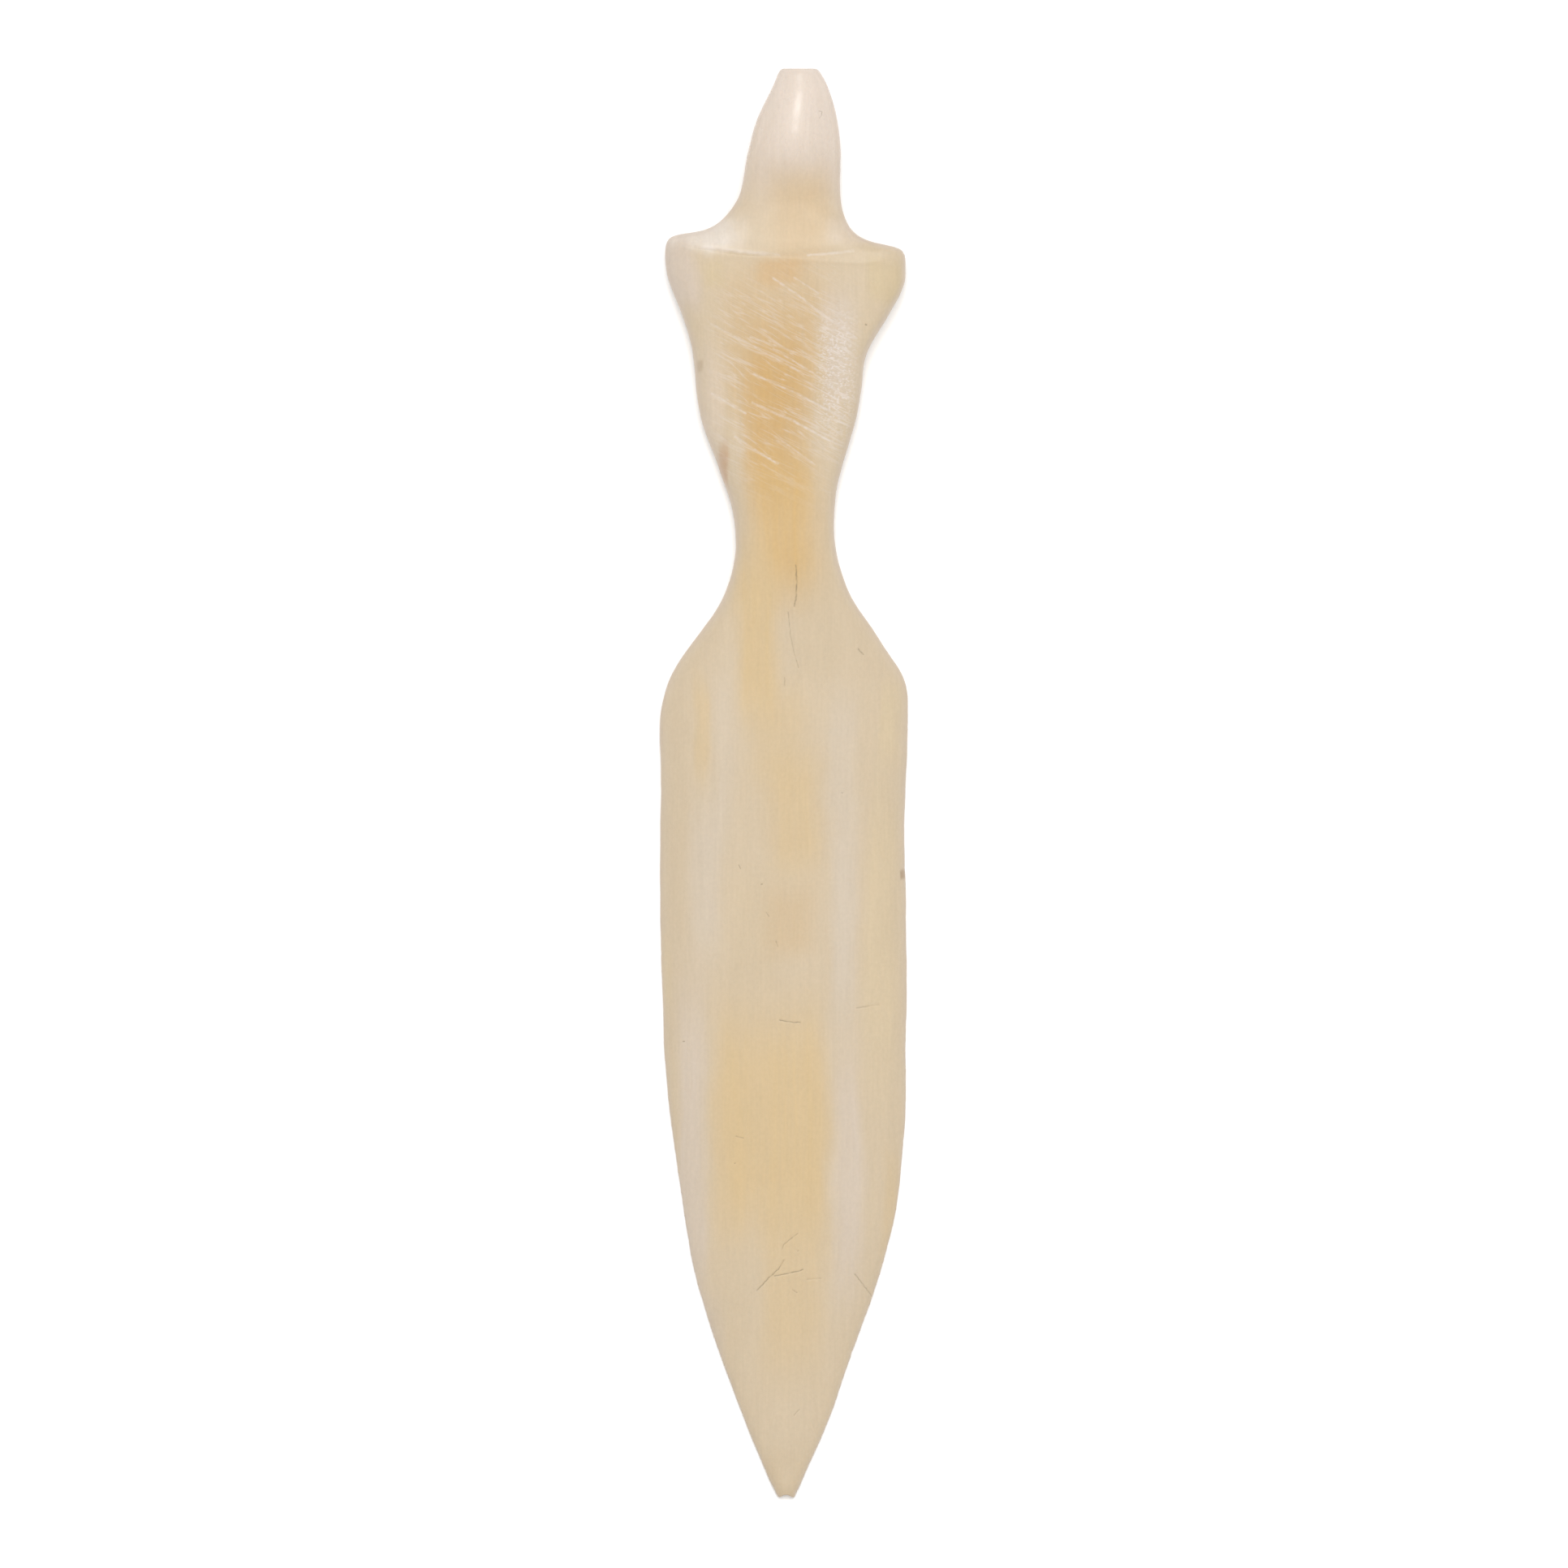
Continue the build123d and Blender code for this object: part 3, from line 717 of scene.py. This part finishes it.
@dataclass(frozen=True)
class CarvedBone:
    """The bone: creamy, with an amber core, pale lengthwise bands and a satin, hand-rubbed skin."""

    name: str = "carved_bone"
    light: float = 1.335  # how bright a white surface is under the studio's lamps
    sheen: float = 0.028  # what the skin's reflection of the studio adds to its colour
    drift: float = 4.4  # mm, the range in which the zones' outlines wander
    shiver: float = 0.22  # mm, the range in which the thin lines waver
    fading_streak: Point = (-0.6, 0.6)  # where in the streaks' noise a zone is faintest and full
    faintest_zone: float = 0.78  # what a streak leaves of a zone at its faintest
    breaking_line: Point = (-0.35, 0.25)  # where in its noise a thin line is faintest and full
    faintest_line: float = 0.3  # what is left of a line where it breaks
    streak_shade: float = 0.035  # how much each grain lightens and darkens the bone
    fibre_shade: float = 0.045
    mottle_shade: float = 0.065
    cloud_shade: float = 0.025
    faint_strokes: float = 0.45  # strength of the file's fine strokes
    chalky_strokes: float = 0.5  # what the chalky flank adds to it
    lying_powder: Point = (-0.02, 0.3)  # where in its noise the powder starts and is full
    powder: float = 0.95  # strength of the chalky powder
    filed_share: float = 0.85  # how much of the pale tone a file stroke, and the painted highlight along the crest, shows
    sanded_share: float = 0.3
    edge_colour_and_shade_share: float = 0.4
    edge_facing: Point = (0.7, 0.1)  # how level the skin is where the darker edge starts and is full: partly the edges' own colour, partly painted shade where the sides turn from the lamps
    fleck_share: float = 0.6
    fleck_spacing: tuple[float, float, float] = (5.0, 6.0, 30.0)  # mm from cell to cell
    fleck_radius: float = 0.035  # of a cell
    flecked_cells: float = 0.4  # share of the cells that hold a fleck
    filed_torso: Patch = Patch((0.0, 46.5), (10.0, 17.0), 0.6)
    chalky_flank: Patch = Patch((6.1, 47.3), (3.4, 10.0), 0.15)
    handled_head: Patch = Patch((1.5, 80.0), (30.0, 18.0), 0.7)
    matt_torso: Patch = Patch((0.3, 47.0), (12.0, 16.0), 0.6)
    fibre_height: float = 0.0018  # mm
    skin_height: float = 0.0018  # mm
    stroke_depth: float = 0.016  # mm
    sanding_depth: float = 0.008  # mm
    satin: float = 0.42  # roughness of the rubbed skin
    polish: float = 0.27  # roughness of the handled head
    filed: float = 0.56  # roughness of the filed torso
    handling: float = 0.07  # how much handling has made the roughness uneven
    stroke_roughness: float = 0.08
    refraction: float = 1.54
    glow: float = 0.12  # share of the light that passes through the skin
    glow_reach: float = 0.8  # mm
    glow_colour: tuple[float, float, float] = (1.0, 0.7, 0.45)

    def make(self, effects: EffectShelf) -> bpy.types.Material:
        """Build the material.

        Args:
            effects: the node groups that it places.

        Returns:
            The finished material.
        """
        material = bpy.data.materials.new(self.name)
        material.use_nodes = True
        sketch = NodeSketch(material.node_tree)
        skin = Skin.over(sketch, effects)
        strokes = self.strokes(skin)
        sanding = sketch.maths("MULTIPLY", self.parallel(skin, SANDING), skin.back)
        bump = {"Distance": MM, "Height": self.relief(skin, strokes, sanding)}
        colour = self.worked(skin, self.ground(skin), strokes, sanding)
        inputs = {
            "Base Color": colour,
            "Roughness": self.gloss(skin, strokes),
            "Normal": sketch.add("ShaderNodeBump", bump).outputs["Normal"],
            "IOR": self.refraction,
            "Subsurface Weight": self.glow,
            "Subsurface Radius": self.glow_colour,
            "Subsurface Scale": self.glow_reach * MM,
        }
        shader = sketch.add("ShaderNodeBsdfPrincipled", inputs)
        sketch.add("ShaderNodeOutputMaterial", {"Surface": shader.outputs[0]})
        return material

    def tint(self, tone: Tone) -> Colour:
        """Return the albedo of a tone under the studio's lamps."""
        return tone.albedo(self.light, self.sheen)

    def ground(self, skin: Skin) -> Socket:
        """Lay the bone's own colours: its zones, its lengthwise streaks and its fine mottle, with painted
        light on the left shoulder among the zones.

        Args:
            skin: the skin that is coloured.

        Returns:
            The socket with the colour.
        """
        sketch = skin.sketch
        inside = replace(skin, place=sketch.wander(skin.place, Swells.DRIFT, self.drift))
        streak = inside.grain(Swells.STREAK)
        keep = sketch.ease(streak, *self.fading_streak, self.faintest_zone, 1.0)
        colour = self.tint(Tone.BASE)
        for zone in ZONES:
            shown = sketch.maths("MULTIPLY", inside.patch(zone.patch()), zone.strength)
            shown = sketch.maths("MULTIPLY", shown, keep)
            colour = sketch.mix(shown, colour, self.tint(zone.tone))
        shade = sketch.maths("MULTIPLY_ADD", streak, self.streak_shade, 1.0)
        for swells, amount in (
            (Swells.FIBRE, self.fibre_shade),
            (Swells.MOTTLE, self.mottle_shade),
            (Swells.CLOUD, self.cloud_shade),
        ):
            shade = sketch.maths("MULTIPLY_ADD", skin.grain(swells), amount, shade)
        return sketch.scale(colour, shade)

    def parallel(self, skin: Skin, sets: tuple[StrokeSet, ...]) -> Socket:
        """Draw families of fine parallel strokes in one mask.

        Args:
            skin: the skin that is worked.
            sets: the families.

        Returns:
            The socket with the mask.
        """
        total = None
        for family in sets:
            marks = skin.lay(
                skin.effects.file_marks,
                Angle=math.radians(family.degrees),
                Pitch=family.pitch,
                Length=family.length,
                Sparseness=family.sparseness,
            )
            total = marks if total is None else skin.sketch.maths("MAXIMUM", total, marks)
        return total

    def strokes(self, skin: Skin) -> Socket:
        """Scratch the front of the torso with the file, and leave chalky powder on its flank.

        Args:
            skin: the skin that is worked.

        Returns:
            The socket with the mask of the strokes and the powder.
        """
        sketch = skin.sketch
        torso = skin.patch(self.filed_torso)
        chalky = skin.patch(self.chalky_flank)
        level = sketch.maths("MULTIPLY_ADD", chalky, self.chalky_strokes, self.faint_strokes)
        faint = sketch.maths("MULTIPLY", self.parallel(skin, FILING), torso)
        faint = sketch.maths("MULTIPLY", faint, level)
        powder = sketch.ease(skin.grain(Swells.POWDER), *self.lying_powder, 0.0, self.powder)
        powder = sketch.maths("MULTIPLY", powder, chalky)
        return sketch.maths("MULTIPLY", sketch.maths("MAXIMUM", faint, powder), skin.front)

    def lines(self, skin: Skin, marks: tuple[Mark, ...]) -> Socket:
        """Draw many thin, broken lines in one mask.

        Args:
            skin: the skin that they are in.
            marks: the lines.

        Returns:
            The socket with the mask.
        """
        sketch = skin.sketch
        shivered = sketch.wander(skin.place, Swells.SHIVER, self.shiver)
        shivered = sketch.vectors("MULTIPLY", shivered, IN_PLAN)
        total = None
        for mark in marks:
            for start, end in mark.segments():
                run = Vector((end[0] - start[0], end[1] - start[1], 0.0))
                line = skin.effects.hairline.place(
                    sketch,
                    Flat_Place=shivered,
                    Start=(*start, 0.0),
                    Run=run,
                    Gauge=run / run.length_squared,
                    Width=mark.width,
                )
                line = sketch.maths("MULTIPLY", line, mark.strength)
                total = line if total is None else sketch.maths("MAXIMUM", total, line)
        broken = skin.grain(Swells.BREAKS)
        left = sketch.ease(broken, *self.breaking_line, self.faintest_line, 1.0)
        return sketch.maths("MULTIPLY", sketch.maths("MULTIPLY", total, left), skin.front)

    def relief(self, skin: Skin, strokes: Socket, sanding: Socket) -> Socket:
        """Raise the fine fibre of the skin and sink what the file and the sanding cut.

        Args:
            skin: the skin that is worked.
            strokes: the mask of the file's strokes.
            sanding: the mask of the back's scratches.

        Returns:
            The socket with the height in millimetres.
        """
        sketch = skin.sketch
        height = sketch.maths("MULTIPLY", skin.grain(Swells.RAISED_FIBRE), self.fibre_height)
        for mask, amount in (
            (skin.grain(Swells.SKIN), self.skin_height),
            (strokes, -self.stroke_depth),
            (sanding, -self.sanding_depth),
        ):
            height = sketch.maths("MULTIPLY_ADD", mask, amount, height)
        return height

    def worked(self, skin: Skin, colour: Socket, strokes: Socket, sanding: Socket) -> Socket:
        """Lay the traces of work and wear over the bone's own colour, with painted shade on the sides and a
        painted highlight along the crest.

        Args:
            skin: the skin that is worked.
            colour: the bone's own colour.
            strokes: the mask of the file's strokes.
            sanding: the mask of the back's scratches.

        Returns:
            The socket with the colour.
        """
        sketch = skin.sketch
        # the darker edge tone is partly the edges' own colour and partly painted shade: it grows where the
        # skin turns to the side, away from the lamps
        level = sketch.maths("ABSOLUTE", skin.facing)
        edge = sketch.ease(level, *self.edge_facing, 0.0, self.edge_colour_and_shade_share)
        # filed also carries the painted highlight along the crest, which is drawn with the file strokes
        filed = sketch.maths("MAXIMUM", strokes, self.lines(skin, FILE_STROKES_AND_CREST_HIGHLIGHT))
        filed = sketch.maths("MULTIPLY", filed, self.filed_share)
        sanded = sketch.maths("MULTIPLY", sanding, self.sanded_share)
        cracks = self.lines(skin, CRACKS + SCRATCHES + PORES)
        flecks = skin.lay(
            skin.effects.specks,
            Spacing=self.fleck_spacing,
            Radius=self.fleck_radius,
            Share=self.flecked_cells,
        )
        flecks = sketch.maths("MULTIPLY", flecks, skin.front)
        flecks = sketch.maths("MULTIPLY", flecks, self.fleck_share)
        for mask, tone in (
            (edge, Tone.EDGE_COLOUR_AND_SHADE),
            (filed, Tone.FILED_AND_HIGHLIGHT),
            (sanded, Tone.FILED_AND_HIGHLIGHT),
            (cracks, Tone.CRACK),
            (flecks, Tone.CRACK),
        ):
            colour = sketch.mix(mask, colour, self.tint(tone))
        return colour

    def gloss(self, skin: Skin, strokes: Socket) -> Socket:
        """Polish the head, leave the blade satin and make it matt where the file went.

        Args:
            skin: the skin that is worked.
            strokes: the mask of the file's strokes.

        Returns:
            The socket with the roughness.
        """
        sketch = skin.sketch
        head = skin.patch(self.handled_head)
        torso = skin.patch(self.matt_torso)
        rough = sketch.maths("MULTIPLY_ADD", skin.grain(Swells.HANDLING), self.handling, self.satin)
        for mask, change in (
            (head, self.polish - self.satin),
            (sketch.maths("MULTIPLY", torso, skin.front), self.filed - self.satin),
            (strokes, self.stroke_roughness),
        ):
            rough = sketch.maths("MULTIPLY_ADD", mask, change, rough)
        return rough


@dataclass(frozen=True)
class PaleTable:
    """The finish of the plain white table: matt, with the faintest tooth."""

    name: str = "white_table"
    brightness: float = 0.97
    roughness: float = 0.9
    shine: float = 0.2
    tooth_size: float = 0.8  # mm
    tooth_detail: float = 2.0
    tooth_height: float = 0.002  # mm
    tooth_shade: float = 0.004

    def make(self, effects: EffectShelf) -> bpy.types.Material:
        """Build the material.

        Args:
            effects: the node groups that it places.

        Returns:
            The finished material.
        """
        material = bpy.data.materials.new(self.name)
        material.use_nodes = True
        sketch = NodeSketch(material.node_tree)
        spot = sketch.add("ShaderNodeTexCoord").outputs["Object"]
        place = sketch.scale(spot, 1 / MM)
        swell = (self.tooth_size, self.tooth_size, self.tooth_size)
        tooth = effects.grain.place(sketch, Place=place, Swell=swell, Detail=self.tooth_detail)
        height = sketch.maths("MULTIPLY", tooth, self.tooth_height)
        bump = sketch.add("ShaderNodeBump", {"Distance": MM, "Height": height})
        level = sketch.maths("MULTIPLY_ADD", tooth, self.tooth_shade, self.brightness)
        colour = sketch.add("ShaderNodeCombineColor", {0: level, 1: level, 2: level}).outputs[0]
        shader = sketch.add(
            "ShaderNodeBsdfPrincipled",
            {
                "Base Color": colour,
                "Roughness": self.roughness,
                "Specular IOR Level": self.shine,
                "Normal": bump.outputs["Normal"],
            },
        )
        sketch.add("ShaderNodeOutputMaterial", {"Surface": shader.outputs[0]})
        return material


@dataclass
class CarvedTool:
    """The bone folder itself: one mesh that stands for the one CAD solid."""

    node: str = "bone_folder"
    name: str = "carved_bone_folder"
    body: str = "root"
    slot: str = "carved_bone"
    voxel: float = 0.38  # mm between the points of the even skin
    smoothing_rounds: int = 8
    waviness: float = 0.045  # mm that the hand's cuts rise and fall
    side_waviness: float = 0.05  # mm that the outline wavers
    front_swells: tuple[float, float, float] = (6.0, 13.0, 5.0)  # mm
    side_swells: tuple[float, float, float] = (4.0, 2.6, 4.0)  # mm
    file_ridges: float = 0.012  # mm
    ridge_swells: tuple[float, float, float] = (7.0, 0.5, 1.0)  # mm along, across and down
    file_slope: float = -26.0  # degrees
    filed_foot: Point = (32.0, 38.0)  # Y between which the filing starts
    filed_top: Point = (58.0, 61.0)  # Y between which it ends
    filed_side: Point = (8.0, 11.0)  # X, to either side, between which it fades out
    fine_torso: tuple[float, float, float] = (11.5, 33.0, 62.0)  # half width, lowest and highest Y
    torso_facing: float = 0.6  # how far up the faces look that are split there
    work_reach: Point = (0.6, 0.3)  # mm from a line to the faces split once, and twice
    line_facing: float = 0.3  # how far up those look
    front_facing: Point = (0.25, 0.8)  # how far up the skin looks where the front starts and is full
    side_facing: Point = (0.3, 0.8)  # and where the side is full and ends
    nicks: int = 46
    nick_radii: Point = (0.35, 0.9)  # mm
    nick_depths: Point = (0.03, 0.09)  # mm
    nick_squash: tuple[float, float, float] = (1.0, 1.0, 0.6)  # nicks are longer up the side
    nicked_side: float = 0.8  # how far a point belongs to the side that can be a nick's middle
    tip_reach: float = 1.6  # mm of the chipped tip that stay as sharp as the CAD
    pull: float = 0.5  # share of the way to its neighbours that smoothing pulls a point
    push: float = -0.53  # and pushes it back
    seed: int = 7

    def build(self) -> bpy.types.Object:
        """Make the mesh of the tool in place.

        Returns:
            The new object, which rides on the CAD body and hides the CAD node.
        """
        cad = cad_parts[self.node]
        mesh = self.even_skin(cad)
        self.refine(mesh)
        self.settle(mesh, cad)
        self.smooth(mesh)
        self.carve(mesh)
        mesh.name = self.name
        mesh.shade_smooth()
        tool = bpy.data.objects.new(self.name, mesh)
        bpy.context.scene.collection.objects.link(tool)
        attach(tool, self.body)
        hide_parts(self.node)
        log.info("%s: %d faces", self.name, len(mesh.polygons))
        return tool

    def even_skin(self, cad: bpy.types.Object) -> bpy.types.Mesh:
        """Cover the CAD solid with a mesh of even squares.

        Args:
            cad: the CAD node, which stays as it is.

        Returns:
            The new mesh.
        """
        copy = bpy.data.objects.new("skin_to_remesh", cad.data.copy())
        bpy.context.scene.collection.objects.link(copy)
        modifier = copy.modifiers.new("even_squares", "REMESH")
        modifier.mode = "VOXEL"
        modifier.voxel_size = self.voxel * MM
        graph = bpy.context.evaluated_depsgraph_get()
        mesh = bpy.data.meshes.new_from_object(copy.evaluated_get(graph))
        bpy.data.objects.remove(copy)
        return mesh

    def refine(self, mesh: bpy.types.Mesh) -> None:
        """Split the faces where fine work needs them: the filed torso, the lines and the tip.

        Args:
            mesh: the even skin, which is changed in place.
        """
        net = bmesh.new()
        net.from_mesh(mesh)
        for reach, with_torso in zip(self.work_reach, (True, False)):
            self.split(net, self.near_work(net, reach, with_torso))
        bmesh.ops.triangulate(net, faces=[face for face in net.faces if len(face.verts) > 4])
        net.to_mesh(mesh)
        net.free()

    def near_work(
        self, net: bmesh.types.BMesh, reach: float, with_torso: bool
    ) -> list[bmesh.types.BMFace]:
        """Pick the faces near fine work.

        Args:
            net: the mesh.
            reach: how many millimetres from a line a face may lie.
            with_torso: whether to take the whole front of the torso too.

        Returns:
            The picked faces.
        """
        middles = np.array([face.calc_center_median() for face in net.faces]) / MM
        up = np.array([face.normal.z for face in net.faces])
        picked = np.zeros(len(middles), bool)
        if with_torso:
            half_width, lowest, highest = self.fine_torso
            inside = (middles[:, 1] > lowest) & (middles[:, 1] < highest)
            picked |= inside & (np.abs(middles[:, 0]) < half_width) & (up > self.torso_facing)
        picked |= middles[:, 1] < middles[:, 1].min() + self.tip_reach
        for mark in CRACKS + SCRATCHES + PORES:
            for start, end in mark.segments():
                gap = distance_to_line(middles[:, :2], start, end)
                picked |= (gap < reach) & (up > self.line_facing)
        return [face for face, chosen in zip(net.faces, picked) if chosen]

    def split(self, net: bmesh.types.BMesh, faces: list[bmesh.types.BMFace]) -> None:
        """Cut each of the faces in four."""
        edges = list({edge for face in faces for edge in face.edges})
        bmesh.ops.subdivide_edges(net, edges=edges, cuts=1, use_grid_fill=True)

    def settle(self, mesh: bpy.types.Mesh, cad: bpy.types.Object) -> None:
        """Lay every point of the mesh on the CAD skin.

        Args:
            mesh: the mesh, which is changed in place.
            cad: the CAD node, which stays as it is.
        """
        graph = bpy.context.evaluated_depsgraph_get()
        tree = BVHTree.FromObject(cad, graph)
        for vertex in mesh.vertices:
            vertex.co = tree.find_nearest(vertex.co)[0]
        mesh.update()

    def smooth(self, mesh: bpy.types.Mesh) -> None:
        """Take out the facets without shrinking: each round pulls the points in, then out.

        Args:
            mesh: the mesh, which is changed in place everywhere but at its tip.
        """
        points = self.points(mesh)
        ends = np.zeros(len(mesh.edges) * 2, np.int32)
        mesh.edges.foreach_get("vertices", ends)
        first, second = ends.reshape(-1, 2).T
        count = np.bincount(ends, minlength=len(points)).astype(float)
        free = points[:, 1:2] > points[:, 1].min() + self.tip_reach
        for _ in range(self.smoothing_rounds):
            for weight in (self.pull, self.push):
                total = np.zeros_like(points)
                for axis in range(3):
                    total[:, axis] += np.bincount(first, points[second, axis], len(points))
                    total[:, axis] += np.bincount(second, points[first, axis], len(points))
                points += weight * free * (total / count[:, None] - points)
        self.put(mesh, points)

    def carve(self, mesh: bpy.types.Mesh) -> None:
        """Work the skin over in geometry, and keep all of it inside the CAD box.

        Args:
            mesh: the mesh, which is changed in place.
        """
        points = self.points(mesh)
        normals = np.zeros(len(points) * 3, np.float32)
        mesh.vertex_normals.foreach_get("vector", normals)
        normals = normals.reshape(-1, 3).astype(float)
        up = normals[:, 2]
        front = smooth_step(up, *self.front_facing)
        side = 1.0 - smooth_step(np.abs(up), *self.side_facing)
        height = self.waviness * rolling_noise(points, self.front_swells, self.seed) * front
        wavering = rolling_noise(points, self.side_swells, self.seed + 1)
        height += self.side_waviness * wavering * side
        height += self.filing(points) * front
        height += self.line_grooves(points) * front
        height += self.nicked_edges(points, side)
        low, high = (np.array(corner) / MM for corner in CAD_BOX)
        self.put(mesh, np.clip(points + normals * height[:, None], low, high))

    def filing(self, points: np.ndarray) -> np.ndarray:
        """Measure the ridges that the file left across the front of the torso.

        Args:
            points: the mesh's points in millimetres.

        Returns:
            How far each point rises or sinks, in millimetres.
        """
        fade = smooth_step(points[:, 1], *self.filed_foot)
        fade *= 1 - smooth_step(points[:, 1], *self.filed_top)
        fade *= 1 - smooth_step(np.abs(points[:, 0]), *self.filed_side)
        filed = fade > 0
        slope = math.radians(self.file_slope)
        along = points[filed, 0] * math.cos(slope) + points[filed, 1] * math.sin(slope)
        across = -points[filed, 0] * math.sin(slope) + points[filed, 1] * math.cos(slope)
        turned = np.column_stack([along, across, np.zeros(len(along))])
        ridges = np.zeros(len(points))
        ridges[filed] = rolling_noise(turned, self.ridge_swells, self.seed + 2)
        return self.file_ridges * ridges * fade

    def line_grooves(self, points: np.ndarray) -> np.ndarray:
        """Measure the grooves of every crack, scratch, pore and single stroke.

        Args:
            points: the mesh's points in millimetres.

        Returns:
            How far each point sinks, as a negative number of millimetres.
        """
        depth = np.zeros(len(points))
        for mark in CRACKS + SCRATCHES + PORES + FILE_STROKES_AND_CREST_HIGHLIGHT:
            for start, end in mark.segments():
                gap = distance_to_line(points[:, :2], start, end)
                groove = 1 - smooth_step(gap, 0.0, mark.width)
                depth = np.minimum(depth, -mark.depth * groove)
        return depth

    def nicked_edges(self, points: np.ndarray, side: np.ndarray) -> np.ndarray:
        """Scatter small nicks along the outline.

        Args:
            points: the mesh's points in millimetres.
            side: how far each point belongs to the tool's side.

        Returns:
            How far each point sinks, as a negative number of millimetres.
        """
        chance = np.random.default_rng(self.seed)
        outline = np.flatnonzero(side > self.nicked_side)
        depth = np.zeros(len(points))
        for centre in points[chance.choice(outline, self.nicks, replace=False)]:
            radius = chance.uniform(*self.nick_radii)
            gap = np.linalg.norm((points - centre) * self.nick_squash, axis=1)
            dent = chance.uniform(*self.nick_depths) * (1 - smooth_step(gap, 0.0, radius))
            depth = np.minimum(depth, -dent)
        return depth

    def points(self, mesh: bpy.types.Mesh) -> np.ndarray:
        """Read where the mesh's points are.

        Args:
            mesh: the mesh, which stays as it is.

        Returns:
            X, Y and Z in millimetres, one row for each point.
        """
        flat = np.zeros(len(mesh.vertices) * 3, np.float32)
        mesh.vertices.foreach_get("co", flat)
        return flat.reshape(-1, 3).astype(float) / MM

    def put(self, mesh: bpy.types.Mesh, points: np.ndarray) -> None:
        """Give the mesh new points, in millimetres."""
        mesh.vertices.foreach_set("co", (points * MM).astype(np.float32).ravel())
        mesh.update()


@dataclass
class Table:
    """The white table top that the tool lies on."""

    side: float = 3.0  # metres
    squares: int = 8  # along each side
    gap: float = 0.02 * MM  # under the tool's flat back

    def build(self) -> bpy.types.Object:
        """Make the table top, which is no part of the object.

        Returns:
            The new object.
        """
        net = bmesh.new()
        bmesh.ops.create_grid(net, x_segments=self.squares, y_segments=self.squares, size=self.side / 2)
        mesh = bpy.data.meshes.new("table_top")
        net.to_mesh(mesh)
        net.free()
        table = bpy.data.objects.new("table_top", mesh)
        table.location.z = CAD_BOX[0].z - self.gap
        bpy.context.scene.collection.objects.link(table)
        log.info("table_top: %.1f m square", self.side)
        return table


class Role(Enum):
    """What a lamp does in the studio."""

    KEY = "key_softbox"
    TOP = "top_softbox"
    GLINT = "glint_lamp"


@dataclass(frozen=True)
class Lamp:
    """A square area lamp that looks at the tool."""

    role: Role
    place: tuple[float, float, float]  # metres
    side: float  # metres
    watts: float
    mirrored: bool = True  # whether polished skin shows its reflection


@dataclass
class Studio:
    """Soft white light and a camera that looks straight down."""

    sky: float = 0.68
    view_width: float = 180.92 * MM  # what the picture is wide
    view_middle: Point = (0.03 * MM, -0.05 * MM)
    camera_height: float = 0.6
    lamps: tuple[Lamp, ...] = (
        Lamp(Role.KEY, (0.05, 0.12, 1.10), 0.6, 7.2, mirrored=False),
        Lamp(Role.GLINT, (-0.02, 0.53, 0.80), 0.26, 1.5),
        Lamp(Role.TOP, (-0.02, 0.22, 0.93), 0.10, 0.6),
    )

    def build(self) -> None:
        """Set up the sky, the lamps and the camera."""
        scene = bpy.context.scene
        scene.world = self.make_sky()
        for lamp in self.lamps:
            self.hang(lamp)
        lens = bpy.data.cameras.new("camera_above")
        lens.type = "ORTHO"
        lens.ortho_scale = self.view_width
        camera = bpy.data.objects.new("camera_above", lens)
        camera.location = (*self.view_middle, self.camera_height)
        scene.collection.objects.link(camera)
        scene.camera = camera
        scene.view_settings.view_transform = "Standard"
        scene.view_settings.look = "None"
        log.info("studio: %d lamps", len(self.lamps))

    def make_sky(self) -> bpy.types.World:
        """Make the even white light that comes from all round.

        Returns:
            The new world.
        """
        world = bpy.data.worlds.new("white_studio")
        world.use_nodes = True
        sketch = NodeSketch(world.node_tree)
        light = sketch.add("ShaderNodeBackground", {"Color": (1, 1, 1, 1), "Strength": self.sky})
        sketch.add("ShaderNodeOutputWorld", {"Surface": light.outputs[0]})
        return world

    def hang(self, lamp: Lamp) -> None:
        """Hang a lamp and turn it to the tool.

        Args:
            lamp: the lamp.
        """
        data = bpy.data.lights.new(lamp.role.value, "AREA")
        data.shape = "SQUARE"
        data.size = lamp.side
        data.energy = lamp.watts
        body = bpy.data.objects.new(lamp.role.value, data)
        body.location = lamp.place
        body.rotation_euler = Vector(lamp.place).to_track_quat("Z", "Y").to_euler()
        body.visible_camera = False
        body.visible_glossy = lamp.mirrored
        bpy.context.scene.collection.objects.link(body)


def dress(thing: bpy.types.Object, finish: bpy.types.Material) -> None:
    """Put the finish on the thing, and no other."""
    thing.data.materials.clear()
    thing.data.materials.append(finish)


def main() -> None:
    """Build the tool, the table and the studio."""
    logging.basicConfig(level=logging.INFO, format="%(message)s")
    effects = EffectShelf.stock()
    dress(CarvedTool().build(), CarvedBone().make(effects))
    dress(Table().build(), PaleTable().make(effects))
    Studio().build()


if __name__ == "__main__":
    main()
